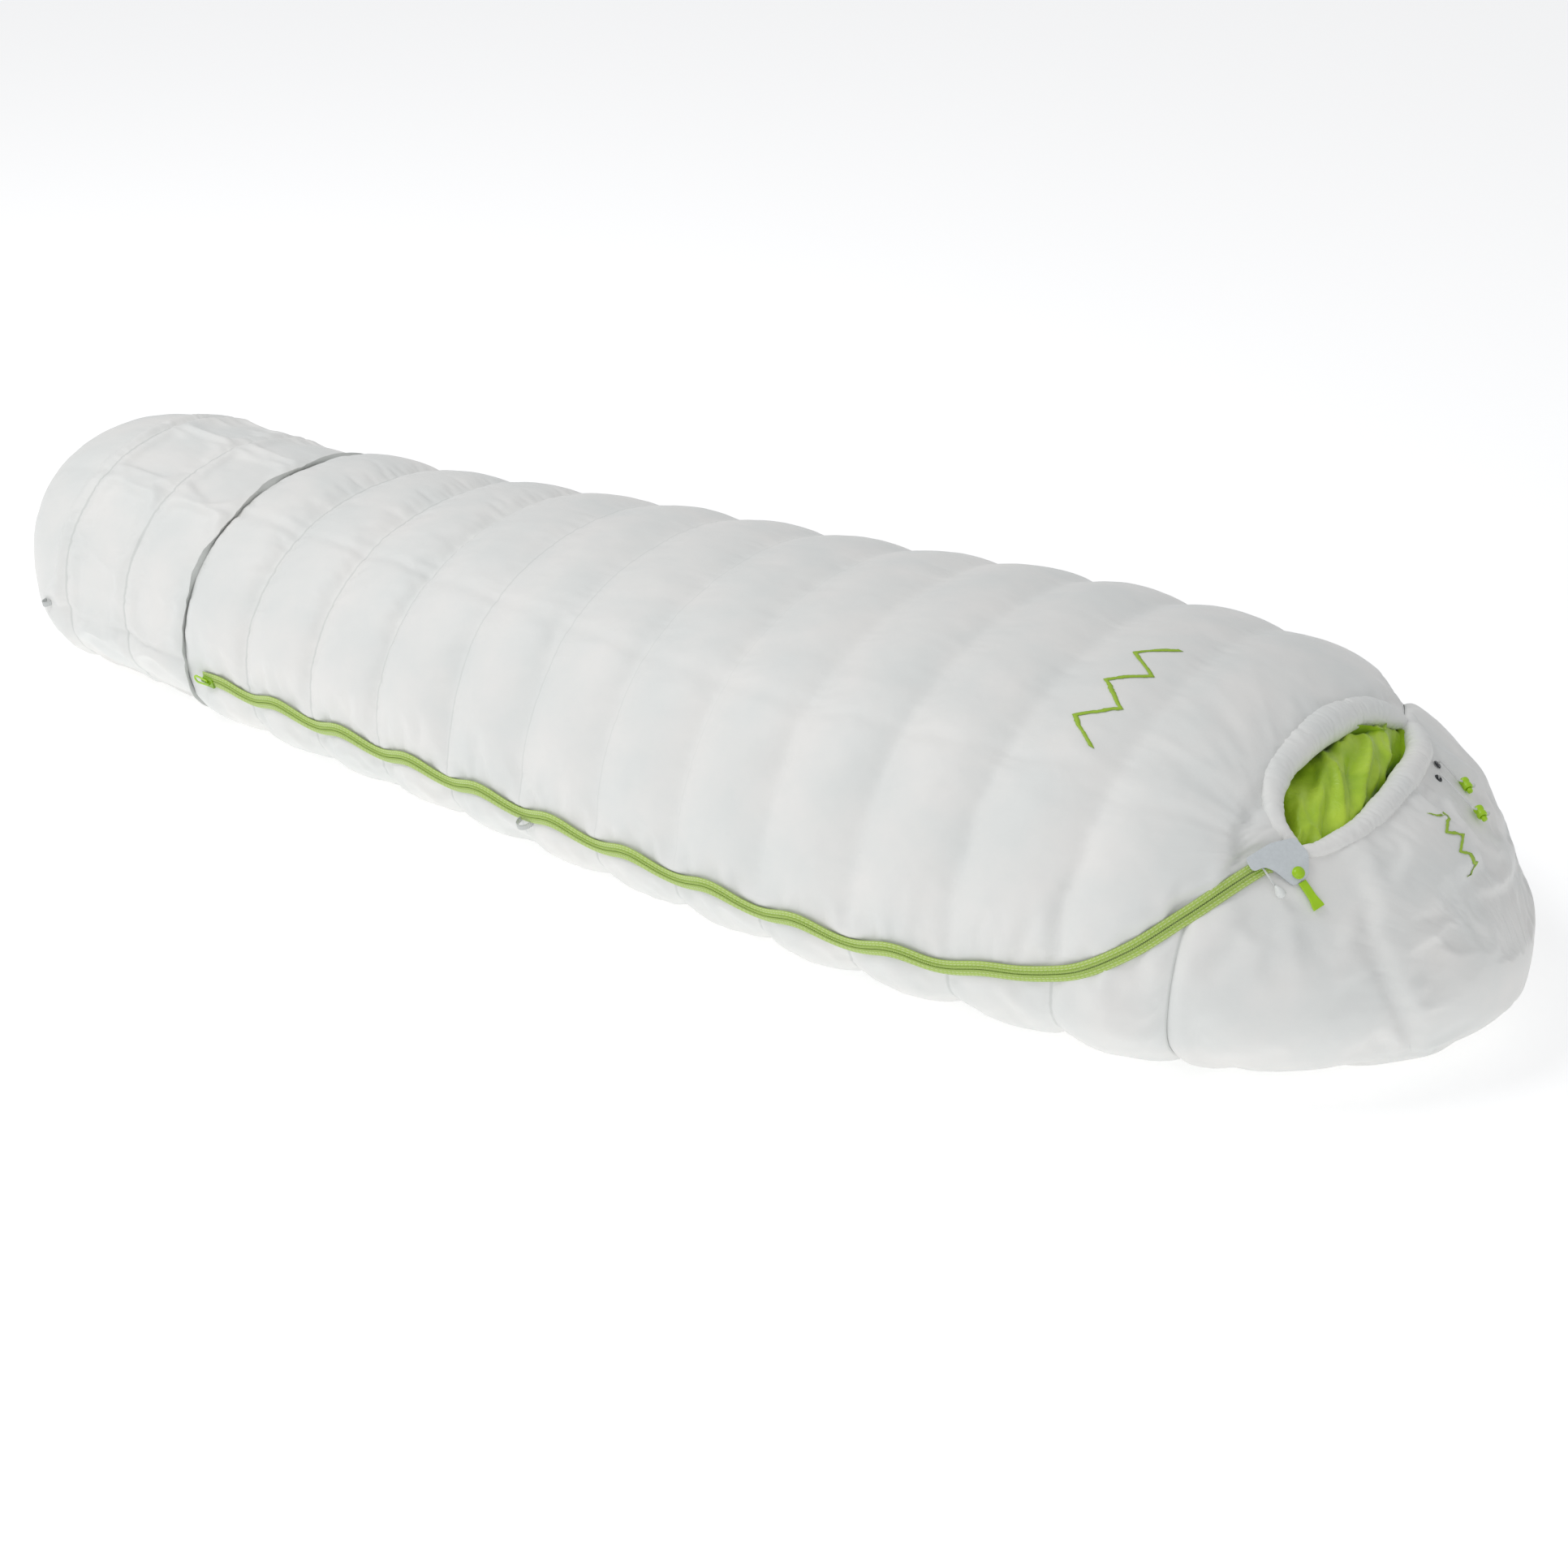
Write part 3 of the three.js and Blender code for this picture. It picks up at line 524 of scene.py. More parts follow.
shoulder_line = along([
    [-0.896, -0.117], [-0.663, -0.123], [-0.434, -0.139], [-0.172, -0.174], [0.080, -0.209],
    [0.302, -0.231], [0.501, -0.230], [0.642, -0.214], [0.712, -0.177], [0.779, -0.136],
])


def shoulder_dip(x, spot):
    """the shallow lengthwise seam on the near shoulder"""
    if spot.z < 0.2:
        return 0.0
    return 0.0018 * math.exp(-(((spot.y - shoulder_line(x)) / 0.007) ** 2))


def near_zip(distance):
    """how much of the full loft there is at a distance from the zip"""
    if distance < 0.009:
        return 0.0
    return 1 - math.exp(-(distance - 0.009) / 0.022)


def cover_place(u, v):
    body = 11 / 12.3
    end_x = float(np.interp(v, head_shares, head_x))
    if u <= body:
        x = foot_seam + (last_seam - foot_seam) * u / body
        share, gap = at_chamber(x)
    else:
        share = (u - body) / (1 - body)
        x = last_seam + (end_x - last_seam) * share
        gap = min(share, 1 - share) * (end_x - last_seam)
    x = round(x, 5)
    reach = travel_to(x, zip_turn(x))
    across = v * reach
    turn = turn_after(x, across) if v < 1 else zip_turn(x)
    to_zip = reach - across
    spot = form_point(x, turn)
    loft = (puff * swell(share) - 0.0025) * near_zip(to_zip) - 0.0025 * (1 - near_zip(to_zip))
    edge = math.exp(-to_zip / 0.03)
    lift = loft + edge * zip_lift(x) - shoulder_dip(x, spot)
    pinned = 1.0 if gap < 0.0012 or to_zip < 0.0095 or v < 1e-6 or u > 1 - 1e-6 or u < 1e-6 else 0.0
    return spot + form_normal(x, turn) * lift, x, across, gap, to_zip, pinned


def under_place(u, v):
    x = round(foot_seam + (hood_seam - foot_seam) * u, 5)
    share, gap = at_chamber(x)
    if u > 1 - 1e-6:
        share, gap = 0.0, 0.0
    start = travel_to(x, zip_turn(x))
    around = float(girth(x)[1][-1])
    across = start + v * (around - start)
    turn = turn_after(x, across) if v > 0 else zip_turn(x)
    to_zip = across - start
    spot = form_point(x, turn)
    loft = (puff * swell(share) - 0.0025) * near_zip(to_zip) - 0.0025 * (1 - near_zip(to_zip))
    lift = loft + math.exp(-to_zip / 0.03) * zip_lift(x)
    lift *= 1.0 - 0.75 * smooth_step(0.05 - spot.z, 0.0, 0.045)
    pinned = 1.0 if gap < 0.0012 or to_zip < 0.0095 or v > 1 - 1e-6 or u < 1e-6 else 0.0
    if v > 1 - 1e-6:
        across = around
    return spot + form_normal(x, turn) * lift, x, across, gap, to_zip, pinned


cover_rows, under_rows, hood_top_rows = 116, 84, 106


def foot_turn(v):
    """the same stations round the bag as the cover and the under side have where they meet the foot"""
    x = foot_seam
    reach, around = travel_to(x, zip_turn(x)), float(girth(x)[1][-1])
    row = v * (cover_rows + under_rows)
    if row <= cover_rows:
        return turn_after(x, reach * row / cover_rows)
    return turn_after(x, reach + (around - reach) * (row - cover_rows) / under_rows)


def hood_turn(v):
    """the same for the hood, with its own rows round the face opening"""
    x = hood_seam
    reach, around = travel_to(x, zip_turn(x)), float(girth(x)[1][-1])
    row = v * (hood_top_rows + under_rows)
    if row <= hood_top_rows:
        return turn_after(x, reach * row / hood_top_rows)
    return turn_after(x, reach + (around - reach) * (row - hood_top_rows) / under_rows)


def foot_place(u, v):
    if u < 0.5:
        x = foot_seam + (first_seam - foot_seam) * u / 0.5
    else:
        x = first_seam + (foot_tip - first_seam) * math.sin((u - 0.5) * math.pi)
    x = round(x, 5)
    around = float(girth(max(x, foot_tip + 0.0005))[1][-1])
    turn = foot_turn(v)
    spot = form_point(x, turn)
    if x > first_seam:
        share, gap = at_chamber(x)
        loft = puff * swell(share) - 0.0025
    else:
        travelled = (u - 0.5) * math.pi
        gap = (first_seam - x) + 0.06 * max(travelled - 0.5, 0.0)
        loft = puff * 0.8 * (1 - math.exp(-gap / 0.02)) - 0.0025
    loft *= 1.0 - 0.75 * smooth_step(0.05 - spot.z, 0.0, 0.045)
    side_gap = 1.0
    if spot.y < 0 and -0.94 < x < foot_seam + 0.001:
        side_gap = abs(spot.z - (0.112 - 0.008 * (x + 0.93) / 0.28))
        loft -= 0.006 * math.exp(-side_gap / 0.006)
    loft -= shoulder_dip(x, spot) if x > -0.99 else 0.0
    pinned = 1.0 if gap < 0.0012 or u < 1e-6 or side_gap < 0.003 else 0.0
    return spot + form_normal(x, turn) * loft, x, v * around, gap, side_gap, pinned


hood_seams = [
    [(0.911, -0.146, 0.223), (0.942, -0.169, 0.175), (0.960, -0.175, 0.144), (0.988, -0.151, 0.072),
     (0.99, -0.13, 0.02)],
    [(0.942, -0.169, 0.175), (0.985, -0.09, 0.178), (1.010, -0.02, 0.168), (1.017, 0.032, 0.159),
     (1.005, 0.10, 0.155), (0.968, 0.165, 0.150), (0.91, 0.235, 0.14), (0.84, 0.295, 0.12)],
]
hood_seam_spots = [even_route(line, 60) for line in hood_seams]


hard_spots = [
    ((0.862, -0.186, 0.243), 0.036), ((0.884, -0.180, 0.222), 0.030), ((0.845, -0.210, 0.225), 0.028),
    ((0.908, 0.084, 0.254), 0.018), ((0.918, 0.062, 0.250), 0.018), ((0.934, 0.096, 0.233), 0.022),
    ((0.962, 0.068, 0.220), 0.022), ((0.948, 0.074, 0.228), 0.018),
]


def calm_there(spot):
    """0 under the hard parts, where the cloth lies flat, rising to 1 away from them"""
    calm = 1.0
    for centre, reach in hard_spots:
        calm = min(calm, smooth_step((Vector(centre) - spot).length, reach, 2.2 * reach))
    return calm


def hood_place(u, v):
    turn = hood_turn(v) if v < 1 - 1e-6 else 2 * math.pi
    start_x = float(np.interp(turn, [t for t, _ in hood_foot], [x for _, x in hood_foot]))
    reach = head_tip - last_seam
    begin = math.asin((start_x - last_seam) / reach)
    swing = begin + (math.pi / 2 - begin) * u
    x = round(last_seam + reach * math.sin(swing), 5)
    if u > 1 - 1e-6:
        x = head_tip
    spot = form_point(x, turn)
    from_edge = (spot - form_point(round(start_x, 5), turn)).length
    gap = from_edge
    for line in hood_seam_spots:
        for mark in line:
            gap = min(gap, (spot - mark).length)
    calm = calm_there(spot)
    loft = 0.008 * calm * (1 - math.exp(-gap / 0.020)) - 0.003
    loft *= 1.0 - 0.75 * smooth_step(0.05 - spot.z, 0.0, 0.045)
    on_zip = math.pi / 2 < turn < zip_turn(hood_seam) + 0.01 and u < 0.06
    pinned = 1.0 if u < 1e-6 or on_zip else 0.0
    if gap < 0.0062 or calm < 0.35:
        pinned = 1.0
    return spot + form_normal(x, turn) * loft, x, v * 1.66, gap, from_edge, pinned


def two_tone(paint, share, low, high, dark, light):
    """a ramp from the dark colour at the low share to the light one at the high share"""
    tone = add_node(paint, "ValToRGB", Fac=share)
    for stop, position, colour in zip(tone.color_ramp.elements, (low, high), (dark, light)):
        stop.position = position
        stop.color = (*colour, 1.0)
    return tone


def shell_material():
    paint, shader, spot = new_paint(
        "white_ripstop", Roughness=0.52, Sheen_Weight=0.12, Sheen_Roughness=0.4, Specular_IOR_Level=0.38)
    patches = add_node(paint, "TexNoise", Scale=11.0, Detail=4.0, Vector=spot).outputs["Fac"]
    tone = two_tone(paint, patches, 0.36, 0.66, (0.755, 0.768, 0.752), (0.812, 0.805, 0.783))
    # Along each seam a narrow band is darkened toward grey: partly the stitch line, partly painted shade of the seam's
    # groove.
    beside = add_node(paint, "Attribute")
    beside.attribute_name = "seam_near"
    line = add_node(paint, "MapRange", From_Min=0.0172, From_Max=0.0190, To_Max=0.55, Value=beside.outputs["Fac"])
    sewn = add_node(paint, "MixRGB", Fac=line.outputs["Result"], Color1=tone.outputs["Color"],
                    Color2=(0.56, 0.58, 0.56, 1.0))
    creases = add_node(paint, "TexNoise", Scale=70.0, Detail=5.0, Roughness=0.6, Vector=spot)
    crease_bump = add_node(paint, "Bump", Strength=0.35, Distance=0.0012, Height=creases.outputs["Fac"])
    weave = add_node(paint, "TexChecker", Scale=1600.0, Vector=spot)
    weave_bump = add_node(paint, "Bump", Strength=0.15, Distance=0.0002, Height=weave.outputs["Fac"],
                          Normal=crease_bump.outputs["Normal"])
    return join(paint, shader, sewn, weave_bump)


shell_paint = shell_material()
shells = {}
for name, columns, rows, place, joined in (
    ("cover_shell_cloth", 184, cover_rows, cover_place, False),
    ("under_shell_cloth", 180, under_rows, under_place, False),
    ("foot_shell_cloth", 60, cover_rows + under_rows, foot_place, True),
    ("hood_shell_cloth", 48, hood_top_rows + under_rows, hood_place, True),
):
    bm = lay_cloth(name, columns, rows, place, joined)
    bmesh.ops.reverse_faces(bm, faces=bm.faces)
    shells[name] = add_piece(name, bm, shell_paint)


def read_floats(mesh, name):
    values = np.zeros(len(mesh.vertices), np.float32)
    mesh.attributes[name].data.foreach_get("value", values)
    return values


def read_spots(mesh):
    spots = np.zeros(len(mesh.vertices) * 3, np.float32)
    mesh.vertices.foreach_get("co", spots)
    return spots.reshape(-1, 3)


def write_spots(mesh, spots):
    mesh.vertices.foreach_set("co", spots.astype(np.float32).ravel())
    mesh.update()


def read_normals(mesh):
    normals = np.zeros(len(mesh.vertices) * 3, np.float32)
    mesh.vertex_normals.foreach_get("vector", normals)
    return normals.reshape(-1, 3)


def settle_modifiers(piece):
    """the piece's mesh becomes what its modifiers show"""
    depsgraph = bpy.context.evaluated_depsgraph_get()
    shown = bpy.data.meshes.new_from_object(piece.evaluated_get(depsgraph), depsgraph=depsgraph)
    piece.modifiers.clear()
    old = piece.data
    piece.data = shown
    bpy.data.meshes.remove(old)


def fill_cloth(pieces, frames=20):
    """down presses each sewn piece out between its pinned seams; rows are piece, pressure, slack, most"""
    starts = {}
    for piece, pressure, slack, most in pieces:
        starts[piece.name] = read_spots(piece.data)
        pinned = read_floats(piece.data, "pinned")
        group = piece.vertex_groups.new(name="sewn")
        group.add([i for i, held in enumerate(pinned) if held > 0.5], 1.0, "REPLACE")
        cloth = piece.modifiers.new("down", "CLOTH")
        cloth.settings.quality = 4
        cloth.settings.mass = 0.25
        cloth.settings.tension_stiffness = 12.0
        cloth.settings.compression_stiffness = 12.0
        cloth.settings.shear_stiffness = 4.0
        cloth.settings.bending_stiffness = 0.25
        cloth.settings.air_damping = 2.0
        cloth.settings.use_pressure = True
        cloth.settings.uniform_pressure_force = pressure
        cloth.settings.shrink_min = -slack
        cloth.settings.vertex_group_mass = "sewn"
        cloth.settings.effector_weights.gravity = 0.0
        cloth.collision_settings.use_collision = False
        cloth.collision_settings.use_self_collision = False
        cloth.point_cache.frame_end = frames
    for frame_number in range(1, frames + 1):
        scene.frame_set(frame_number)
    for piece, pressure, slack, most in pieces:
        settle_modifiers(piece)
        moved = read_spots(piece.data) - starts[piece.name]
        travel = np.linalg.norm(moved, axis=1, keepdims=True)
        moved *= np.minimum(1.0, most / np.maximum(travel, 1e-9))
        write_spots(piece.data, starts[piece.name] + moved)
        piece.vertex_groups.clear()
    scene.frame_set(1)


def refine(piece, levels=1):
    finer = piece.modifiers.new("finer", "SUBSURF")
    finer.levels = levels
    finer.render_levels = levels
    finer.boundary_smooth = "PRESERVE_CORNERS"
    settle_modifiers(piece)


flap_corner = Vector((0.852, -0.186, 0.250))
flap_along = Vector((0.4492, 0.8384, 0.3087))
flap_across = Vector((-0.7749, 0.1936, 0.6017))


long_crease = [(0.835, -0.212, 0.232), (0.700, -0.300, 0.120)]
fan_share = {"cover_shell_cloth": 1.0, "under_shell_cloth": 0.9, "foot_shell_cloth": 0.0, "hood_shell_cloth": 0.30}


def pucker(piece, most=0.0012):
    """fine gathers square to the seams and edges, and long creases that fan out from the flap"""
    mesh = piece.data
    spots, normals = read_spots(mesh), read_normals(mesh)
    x, across = read_floats(mesh, "along"), read_floats(mesh, "across")
    seam_gap, edge_gap = read_floats(mesh, "seam_gap"), read_floats(mesh, "edge_gap")
    lift = np.zeros(len(spots), np.float32)
    for i in range(len(spots)):
        at, s = float(x[i]), float(across[i])
        beside = math.exp(-float(seam_gap[i]) / 0.020)
        by_edge = math.exp(-float(edge_gap[i]) / 0.022)
        amount = 0.0
        if beside > 0.04:
            seam_number = math.floor((at - first_seam) / chamber + 0.5)
            gather = noise.noise(Vector((s / 0.0105, at / 0.05, seam_number * 7.3)))
            amount += most * beside * (0.35 - abs(gather)) * 2.0
        if by_edge > 0.04:
            gather = noise.noise(Vector((at / 0.0105, s / 0.06, 3.1)))
            amount += 1.1 * most * by_edge * (0.35 - abs(gather)) * 2.0
        broad = noise.fractal(Vector((at / 0.09, s / 0.055, 11.0)), 0.7, 2.1, 3)
        amount += 0.0011 * broad
        lift[i] = amount
    offset = spots - np.array(flap_corner)
    reach = np.linalg.norm(offset, axis=1)
    near = np.where(reach < 0.30)[0]
    for i in near:
        d = Vector(offset[i])
        angle = math.atan2(d.dot(flap_across), d.dot(flap_along))
        r = float(reach[i])
        ridge = noise.noise(Vector((angle * 3.2, r * 5.0, 0.7)))
        ridge += 0.5 * noise.noise(Vector((angle * 8.0, r * 9.0, 4.2)))
        fan = fan_share[piece.name] * math.exp(-r / 0.13) * smooth_step(r, 0.025, 0.06)
        lift[i] += 0.012 * (0.20 - abs(ridge)) * fan
    if piece.name == "hood_shell_cloth":
        calm = np.array([calm_there(Vector(spot)) for spot in spots], np.float32)
        lift *= calm * np.clip((head_tip - 0.03 - spots[:, 0]) / 0.06, 0.25, 1.0) * 0.8
    lift *= np.clip(read_floats(mesh, "border_gap") / 0.012, 0.0, 1.0)
    lift *= np.clip((head_tip + 0.004 - spots[:, 0]) / 0.04, 0.0, 1.0)
    lift *= np.clip((spots[:, 0] - foot_tip + 0.004) / 0.04, 0.0, 1.0)
    offset = spots - np.array(long_crease[0])
    run = np.array(long_crease[1]) - np.array(long_crease[0])
    share = np.clip(offset @ run / (run @ run), 0.0, 1.0)
    away = np.linalg.norm(offset - share[:, None] * run, axis=1)
    ends = np.clip(np.minimum(share, 1 - share) / 0.2, 0.0, 1.0)
    lift += ends * (0.0022 * np.exp(-(((away - 0.011) / 0.007) ** 2)) - 0.0042 * np.exp(-((away / 0.0045) ** 2)))
    spots = spots + normals * lift[:, None]
    spots[:, 2] = np.maximum(spots[:, 2], 0.0006)
    write_spots(mesh, spots)


def turn_in_edges(piece, depth=0.009):
    """the cloth's free edges are folded straight in, as a seam allowance"""
    mesh = piece.data
    bm = bmesh.new()
    bm.from_mesh(mesh)
    bm.normal_update()
    inward = {v.index: v.normal.copy() for v in bm.verts if v.is_boundary}
    bm.verts.index_update()
    rim = [e for e in bm.edges if e.is_boundary]
    made = bmesh.ops.extrude_edge_only(bm, edges=rim)["geom"]
    fresh = [g for g in made if isinstance(g, bmesh.types.BMVert)]
    for v in fresh:
        partner = next(e.other_vert(v) for e in v.link_edges if e.other_vert(v) not in fresh)
        v.co = partner.co - inward[partner.index] * depth
        v.co.z = max(v.co.z, 0.0012)
    for e in rim:
        e.smooth = False
    bmesh.ops.recalc_face_normals(bm, faces=[f for f in bm.faces if any(v in fresh for v in f.verts)])
    bm.to_mesh(mesh)
    bm.free()


fill_cloth([
    (shells["cover_shell_cloth"], 2.6, 0.05, 0.0065),
    (shells["under_shell_cloth"], 2.2, 0.05, 0.006),
    (shells["foot_shell_cloth"], 2.4, 0.05, 0.0065),
    (shells["hood_shell_cloth"], 2.0, 0.04, 0.0055),
])
for piece in shells.values():
    near = np.clip(0.02 - read_floats(piece.data, "seam_gap"), 0.0, 0.02)
    piece.data.attributes.new("seam_near", "FLOAT", "POINT").data.foreach_set("value", near)
    refine(piece)
    pucker(piece)
    turn_in_edges(piece)

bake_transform(shells["cover_shell_cloth"])
for name in ("under_shell_cloth", "foot_shell_cloth", "hood_shell_cloth"):
    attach(shells[name], "bag")
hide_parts("cover_shell", *[f"cover_down_{k:02d}" for k in range(1, 13)])
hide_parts("under_shell", *[f"under_down_{k:02d}" for k in range(1, 7)])
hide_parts("foot_shell", *[f"foot_down_{k:02d}" for k in range(1, 4)])
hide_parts("hood_shell", "hood_down_01", "hood_down_upper", "hood_down_lower")


# ---------- lining ----------
# Bright lime nylon inside, sewn to the shell through the down. It turns out over the edge of each
# quilt to meet the shell at the zip and at the face opening.

lining_inset = {"side": 0.047, "top": 0.059, "under": 0.031, "end": 0.053}
edge_turn = 0.060


def lining_spot(x, turn, depth, lift):
    """a point between the shell (depth 0) and the inside face (depth 1)"""
    outer = form_point(x, turn) - form_normal(x, turn) * 0.004
    inner = form_point(x, turn, lining_inset) - form_normal(x, turn) * lift
    return outer.lerp(inner, depth)


def turned_edge(distance):
    """how deep the lining lies at a distance from a turned edge"""
    if distance > edge_turn:
        return 1.0
    return math.sqrt(max(1 - (1 - distance / edge_turn) ** 2, 0.0))


def cover_lining_place(u, v):
    end_x = float(np.interp(v, head_shares, head_x))
    share = 1 - (1 - u) ** 1.25
    x = round(foot_seam + (end_x - foot_seam) * share, 5)
    reach = travel_to(x, zip_turn(x))
    across = (1 - (1 - v) ** 1.3) * reach
    turn = turn_after(x, across) if v < 1 else zip_turn(x)
    to_zip, to_head = reach - across, end_x - x
    open_edge = 0.62 < turn
    depth = turned_edge(to_zip) * (turned_edge(to_head) if open_edge else 1.0)
    part, gap = at_chamber(x)
    lift = 0.010 * swell(part) * (1 - math.exp(-min(to_zip, 0.3) / 0.03))
    return lining_spot(x, turn, depth, lift), x, across, gap, min(to_zip, to_head), 0.0


def under_lining_place(u, v):
    x = round(foot_seam + (hood_seam - foot_seam) * u, 5)
    start = travel_to(x, zip_turn(x))
    around = float(girth(x)[1][-1])
    across = start + v**1.3 * (around - start)
    turn = turn_after(x, across) if v > 0 else zip_turn(x)
    part, gap = at_chamber(x)
    to_zip = across - start
    lift = 0.008 * swell(part)
    return lining_spot(x, turn, turned_edge(to_zip), lift), x, across, gap, to_zip, 0.0


def foot_lining_place(u, v):
    x = foot_seam + (foot_tip - foot_seam) * math.sin(u * math.pi / 2)
    x = round(x, 5)
    at = max(x, first_seam)
    turn = turn_after(at, v * float(girth(at)[1][-1]))
    part, gap = at_chamber(x) if x > first_seam else (0.5, 0.05)
    return lining_spot(x, turn, 1.0, 0.008 * swell(part)), x, v * 1.2, gap, 1.0, 0.0


def hood_lining_place(u, v):
    turn = turn_after(0.80, v * float(girth(0.80)[1][-1]))
    start_x = float(np.interp(turn, [t for t, _ in hood_foot], [x for _, x in hood_foot]))
    reach = head_tip - last_seam
    begin = math.asin((start_x - last_seam) / reach)
    swing = begin + (math.pi / 2 - begin) * u**1.2
    x = round(last_seam + reach * math.sin(swing), 5)
    from_edge = (form_point(x, turn) - form_point(round(start_x, 5), turn)).length
    open_edge = 0.62 < turn < zip_turn(hood_seam)
    depth = turned_edge(from_edge) if open_edge else 1.0
    if not open_edge:
        x = round(x - 0.02 * (1 - u), 5)
    spot = lining_spot(x, turn, depth, 0.006)
    if open_edge and turn < 1.7:
        share = smooth_step(from_edge, 0.0, 0.05) * (1 - smooth_step(from_edge, 0.055, 0.13))
        wide = smooth_step(turn, 0.62, 0.95) * (1 - smooth_step(turn, 1.35, 1.7))
        spot += Vector((-0.030, -0.012, -0.010)) * (share * wide)
    return spot, x, v * 1.6, from_edge, from_edge, 0.0


def lining_material():
    paint, shader, spot = new_paint(
        "lime_nylon", Roughness=0.34, Specular_IOR_Level=0.55, Sheen_Weight=0.25, Sheen_Roughness=0.35)
    patches = add_node(paint, "TexNoise", Scale=24.0, Detail=5.0, Vector=spot).outputs["Fac"]
    tone = two_tone(paint, patches, 0.34, 0.68, (0.330, 0.530, 0.012), (0.520, 0.720, 0.050))
    creases = add_node(paint, "TexNoise", Scale=90.0, Detail=6.0, Distortion=0.6, Vector=spot)
    bump = add_node(paint, "Bump", Strength=0.6, Distance=0.002, Height=creases.outputs["Fac"])
    return join(paint, shader, tone, bump)


def crumple(piece, most, size=0.03):
    """sharp folds such as thin nylon takes, as ridged bands in several directions"""
    mesh = piece.data
    spots, normals = read_spots(mesh), read_normals(mesh)
    lift = np.zeros(len(spots), np.float32)
    for i, spot in enumerate(spots):
        p = Vector(spot)
        bend = noise.noise_vector(p / 0.11) * 0.03
        q = p + bend
        fold = 0.5 - abs(noise.noise(Vector((q.x / size, q.y / (2.2 * size), q.z / (2.2 * size)))))
        fold += 0.6 * (0.5 - abs(noise.noise(Vector((q.x / (1.7 * size), q.z / (0.6 * size), q.y / size + 5.0)))))
        lift[i] = (fold - 0.6) * most
    if "edge_gap" in mesh.attributes:
        lift *= np.clip((read_floats(mesh, "edge_gap") - 0.012) / 0.03, 0.0, 1.0)
    write_spots(mesh, spots + normals * lift[:, None])


lining_paint = lining_material()
linings = {}
lining_nodes = {}
for name, columns, rows, place, joined, node in (
    ("cover_lining_cloth", 190, 96, cover_lining_place, False, "cover_lining"),
    ("under_lining_cloth", 150, 60, under_lining_place, False, "under_lining"),
    ("foot_lining_cloth", 36, 90, foot_lining_place, True, "foot_lining"),
    ("hood_lining_cloth", 64, 190, hood_lining_place, True, "hood_lining"),
):
    bm = lay_cloth(name, columns, rows, place, joined)
    linings[name] = add_piece(name, bm, lining_paint)
    lining_nodes[name] = node

for name, piece in linings.items():
    crumple(piece, 0.007)
    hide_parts(lining_nodes[name])
    if name == "cover_lining_cloth":
        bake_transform(piece)
    else:
        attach(piece, "bag")


# ---------- neck collar and draft tube ----------
# Two lime tubes filled with down, sewn to the cover's lining: one round the neck, one behind the zip.

rim_radius = 0.012


def rim_spots(edge, count, drop=0.006):
    line = [(x, y, form_point(round(x, 5), turn_on_top(x, y)).z - drop) for y, x in edge]
    return even_route(line, count)


def stuffed_front(bm):
    """the collar's front, which fills the opening from under the cover's rim to past the middle"""
    columns, rows = 170, 84
    back, front = rim_spots(opening_foot_edge, columns + 1), rim_spots(opening_head_edge, columns + 1)
    fresh = bmesh.ops.create_grid(bm, x_segments=columns, y_segments=rows, size=0.5)["verts"]
    for v in fresh:
        i = round((v.co.x + 0.5) * columns)
        share, angle = i / columns, (v.co.y + 0.5) * 2 * math.pi
        gap = front[i] - back[i]
        taper = math.sqrt(max(1 - abs(2 * share - 1) ** 5, 0.0)) * smooth_step(share, -0.02, 0.10)
        wide = (0.34 + 0.07 * math.sin(share * 4.0)) * gap.length * taper + 0.004 * taper
        high = 0.034 * taper + 0.0005
        middle = back[i] + gap * 0.30 + Vector((0.0, 0.0, -0.036 - 0.010 * (1 - share)))
        away = Vector((math.cos(angle) * wide, 0.0, math.sin(angle) * high))
        p = middle + away
        long_fold = 0.5 - abs(noise.noise(Vector((p.y / 0.050 + p.x / 0.026, p.x / 0.075 - p.y / 0.16, p.z / 0.06))))
        short_fold = 0.5 - abs(noise.noise(Vector((p.y / 0.022 + p.x / 0.014, p.x / 0.045, p.z / 0.03 + 4.0))))
        fold = ((long_fold - 0.3) * 0.022 + (short_fold - 0.3) * 0.007) * taper
        v.co = p + away.normalized() * fold
    bmesh.ops.remove_doubles(bm, verts=fresh, dist=1e-5)
    bmesh.ops.holes_fill(bm, edges=[e for e in bm.edges if e.is_boundary], sides=0)
    bmesh.ops.recalc_face_normals(bm, faces=bm.faces)


for name, node in (("neck_collar_cloth", "neck_collar"), ("draft_tube_cloth", "draft_tube")):
    bm = bmesh.new()
    bm.from_mesh(frame["nodes"][node].data)
    bmesh.ops.remove_doubles(bm, verts=bm.verts, dist=1e-5)
    piece = add_piece(name, bm, lining_paint)
    evener = piece.modifiers.new("even", "REMESH")
    evener.mode = "VOXEL"
    evener.voxel_size = 0.006
    settle_modifiers(piece)
    smoother = piece.modifiers.new("soften", "SMOOTH")
    smoother.iterations = 8
    settle_modifiers(piece)
    refine(piece)
    crumple(piece, 0.006, size=0.030)
    if name == "neck_collar_cloth":
        bm = bmesh.new()
        bm.from_mesh(piece.data)
        stuffed_front(bm)
        for f in bm.faces:
            f.smooth = True
        bm.to_mesh(piece.data)
        bm.free()
    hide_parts(node)
    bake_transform(piece)


# ---------- rims of the face opening ----------
# Two gathered rolls of white shell fabric, one on the cover's edge and one on the hood's.

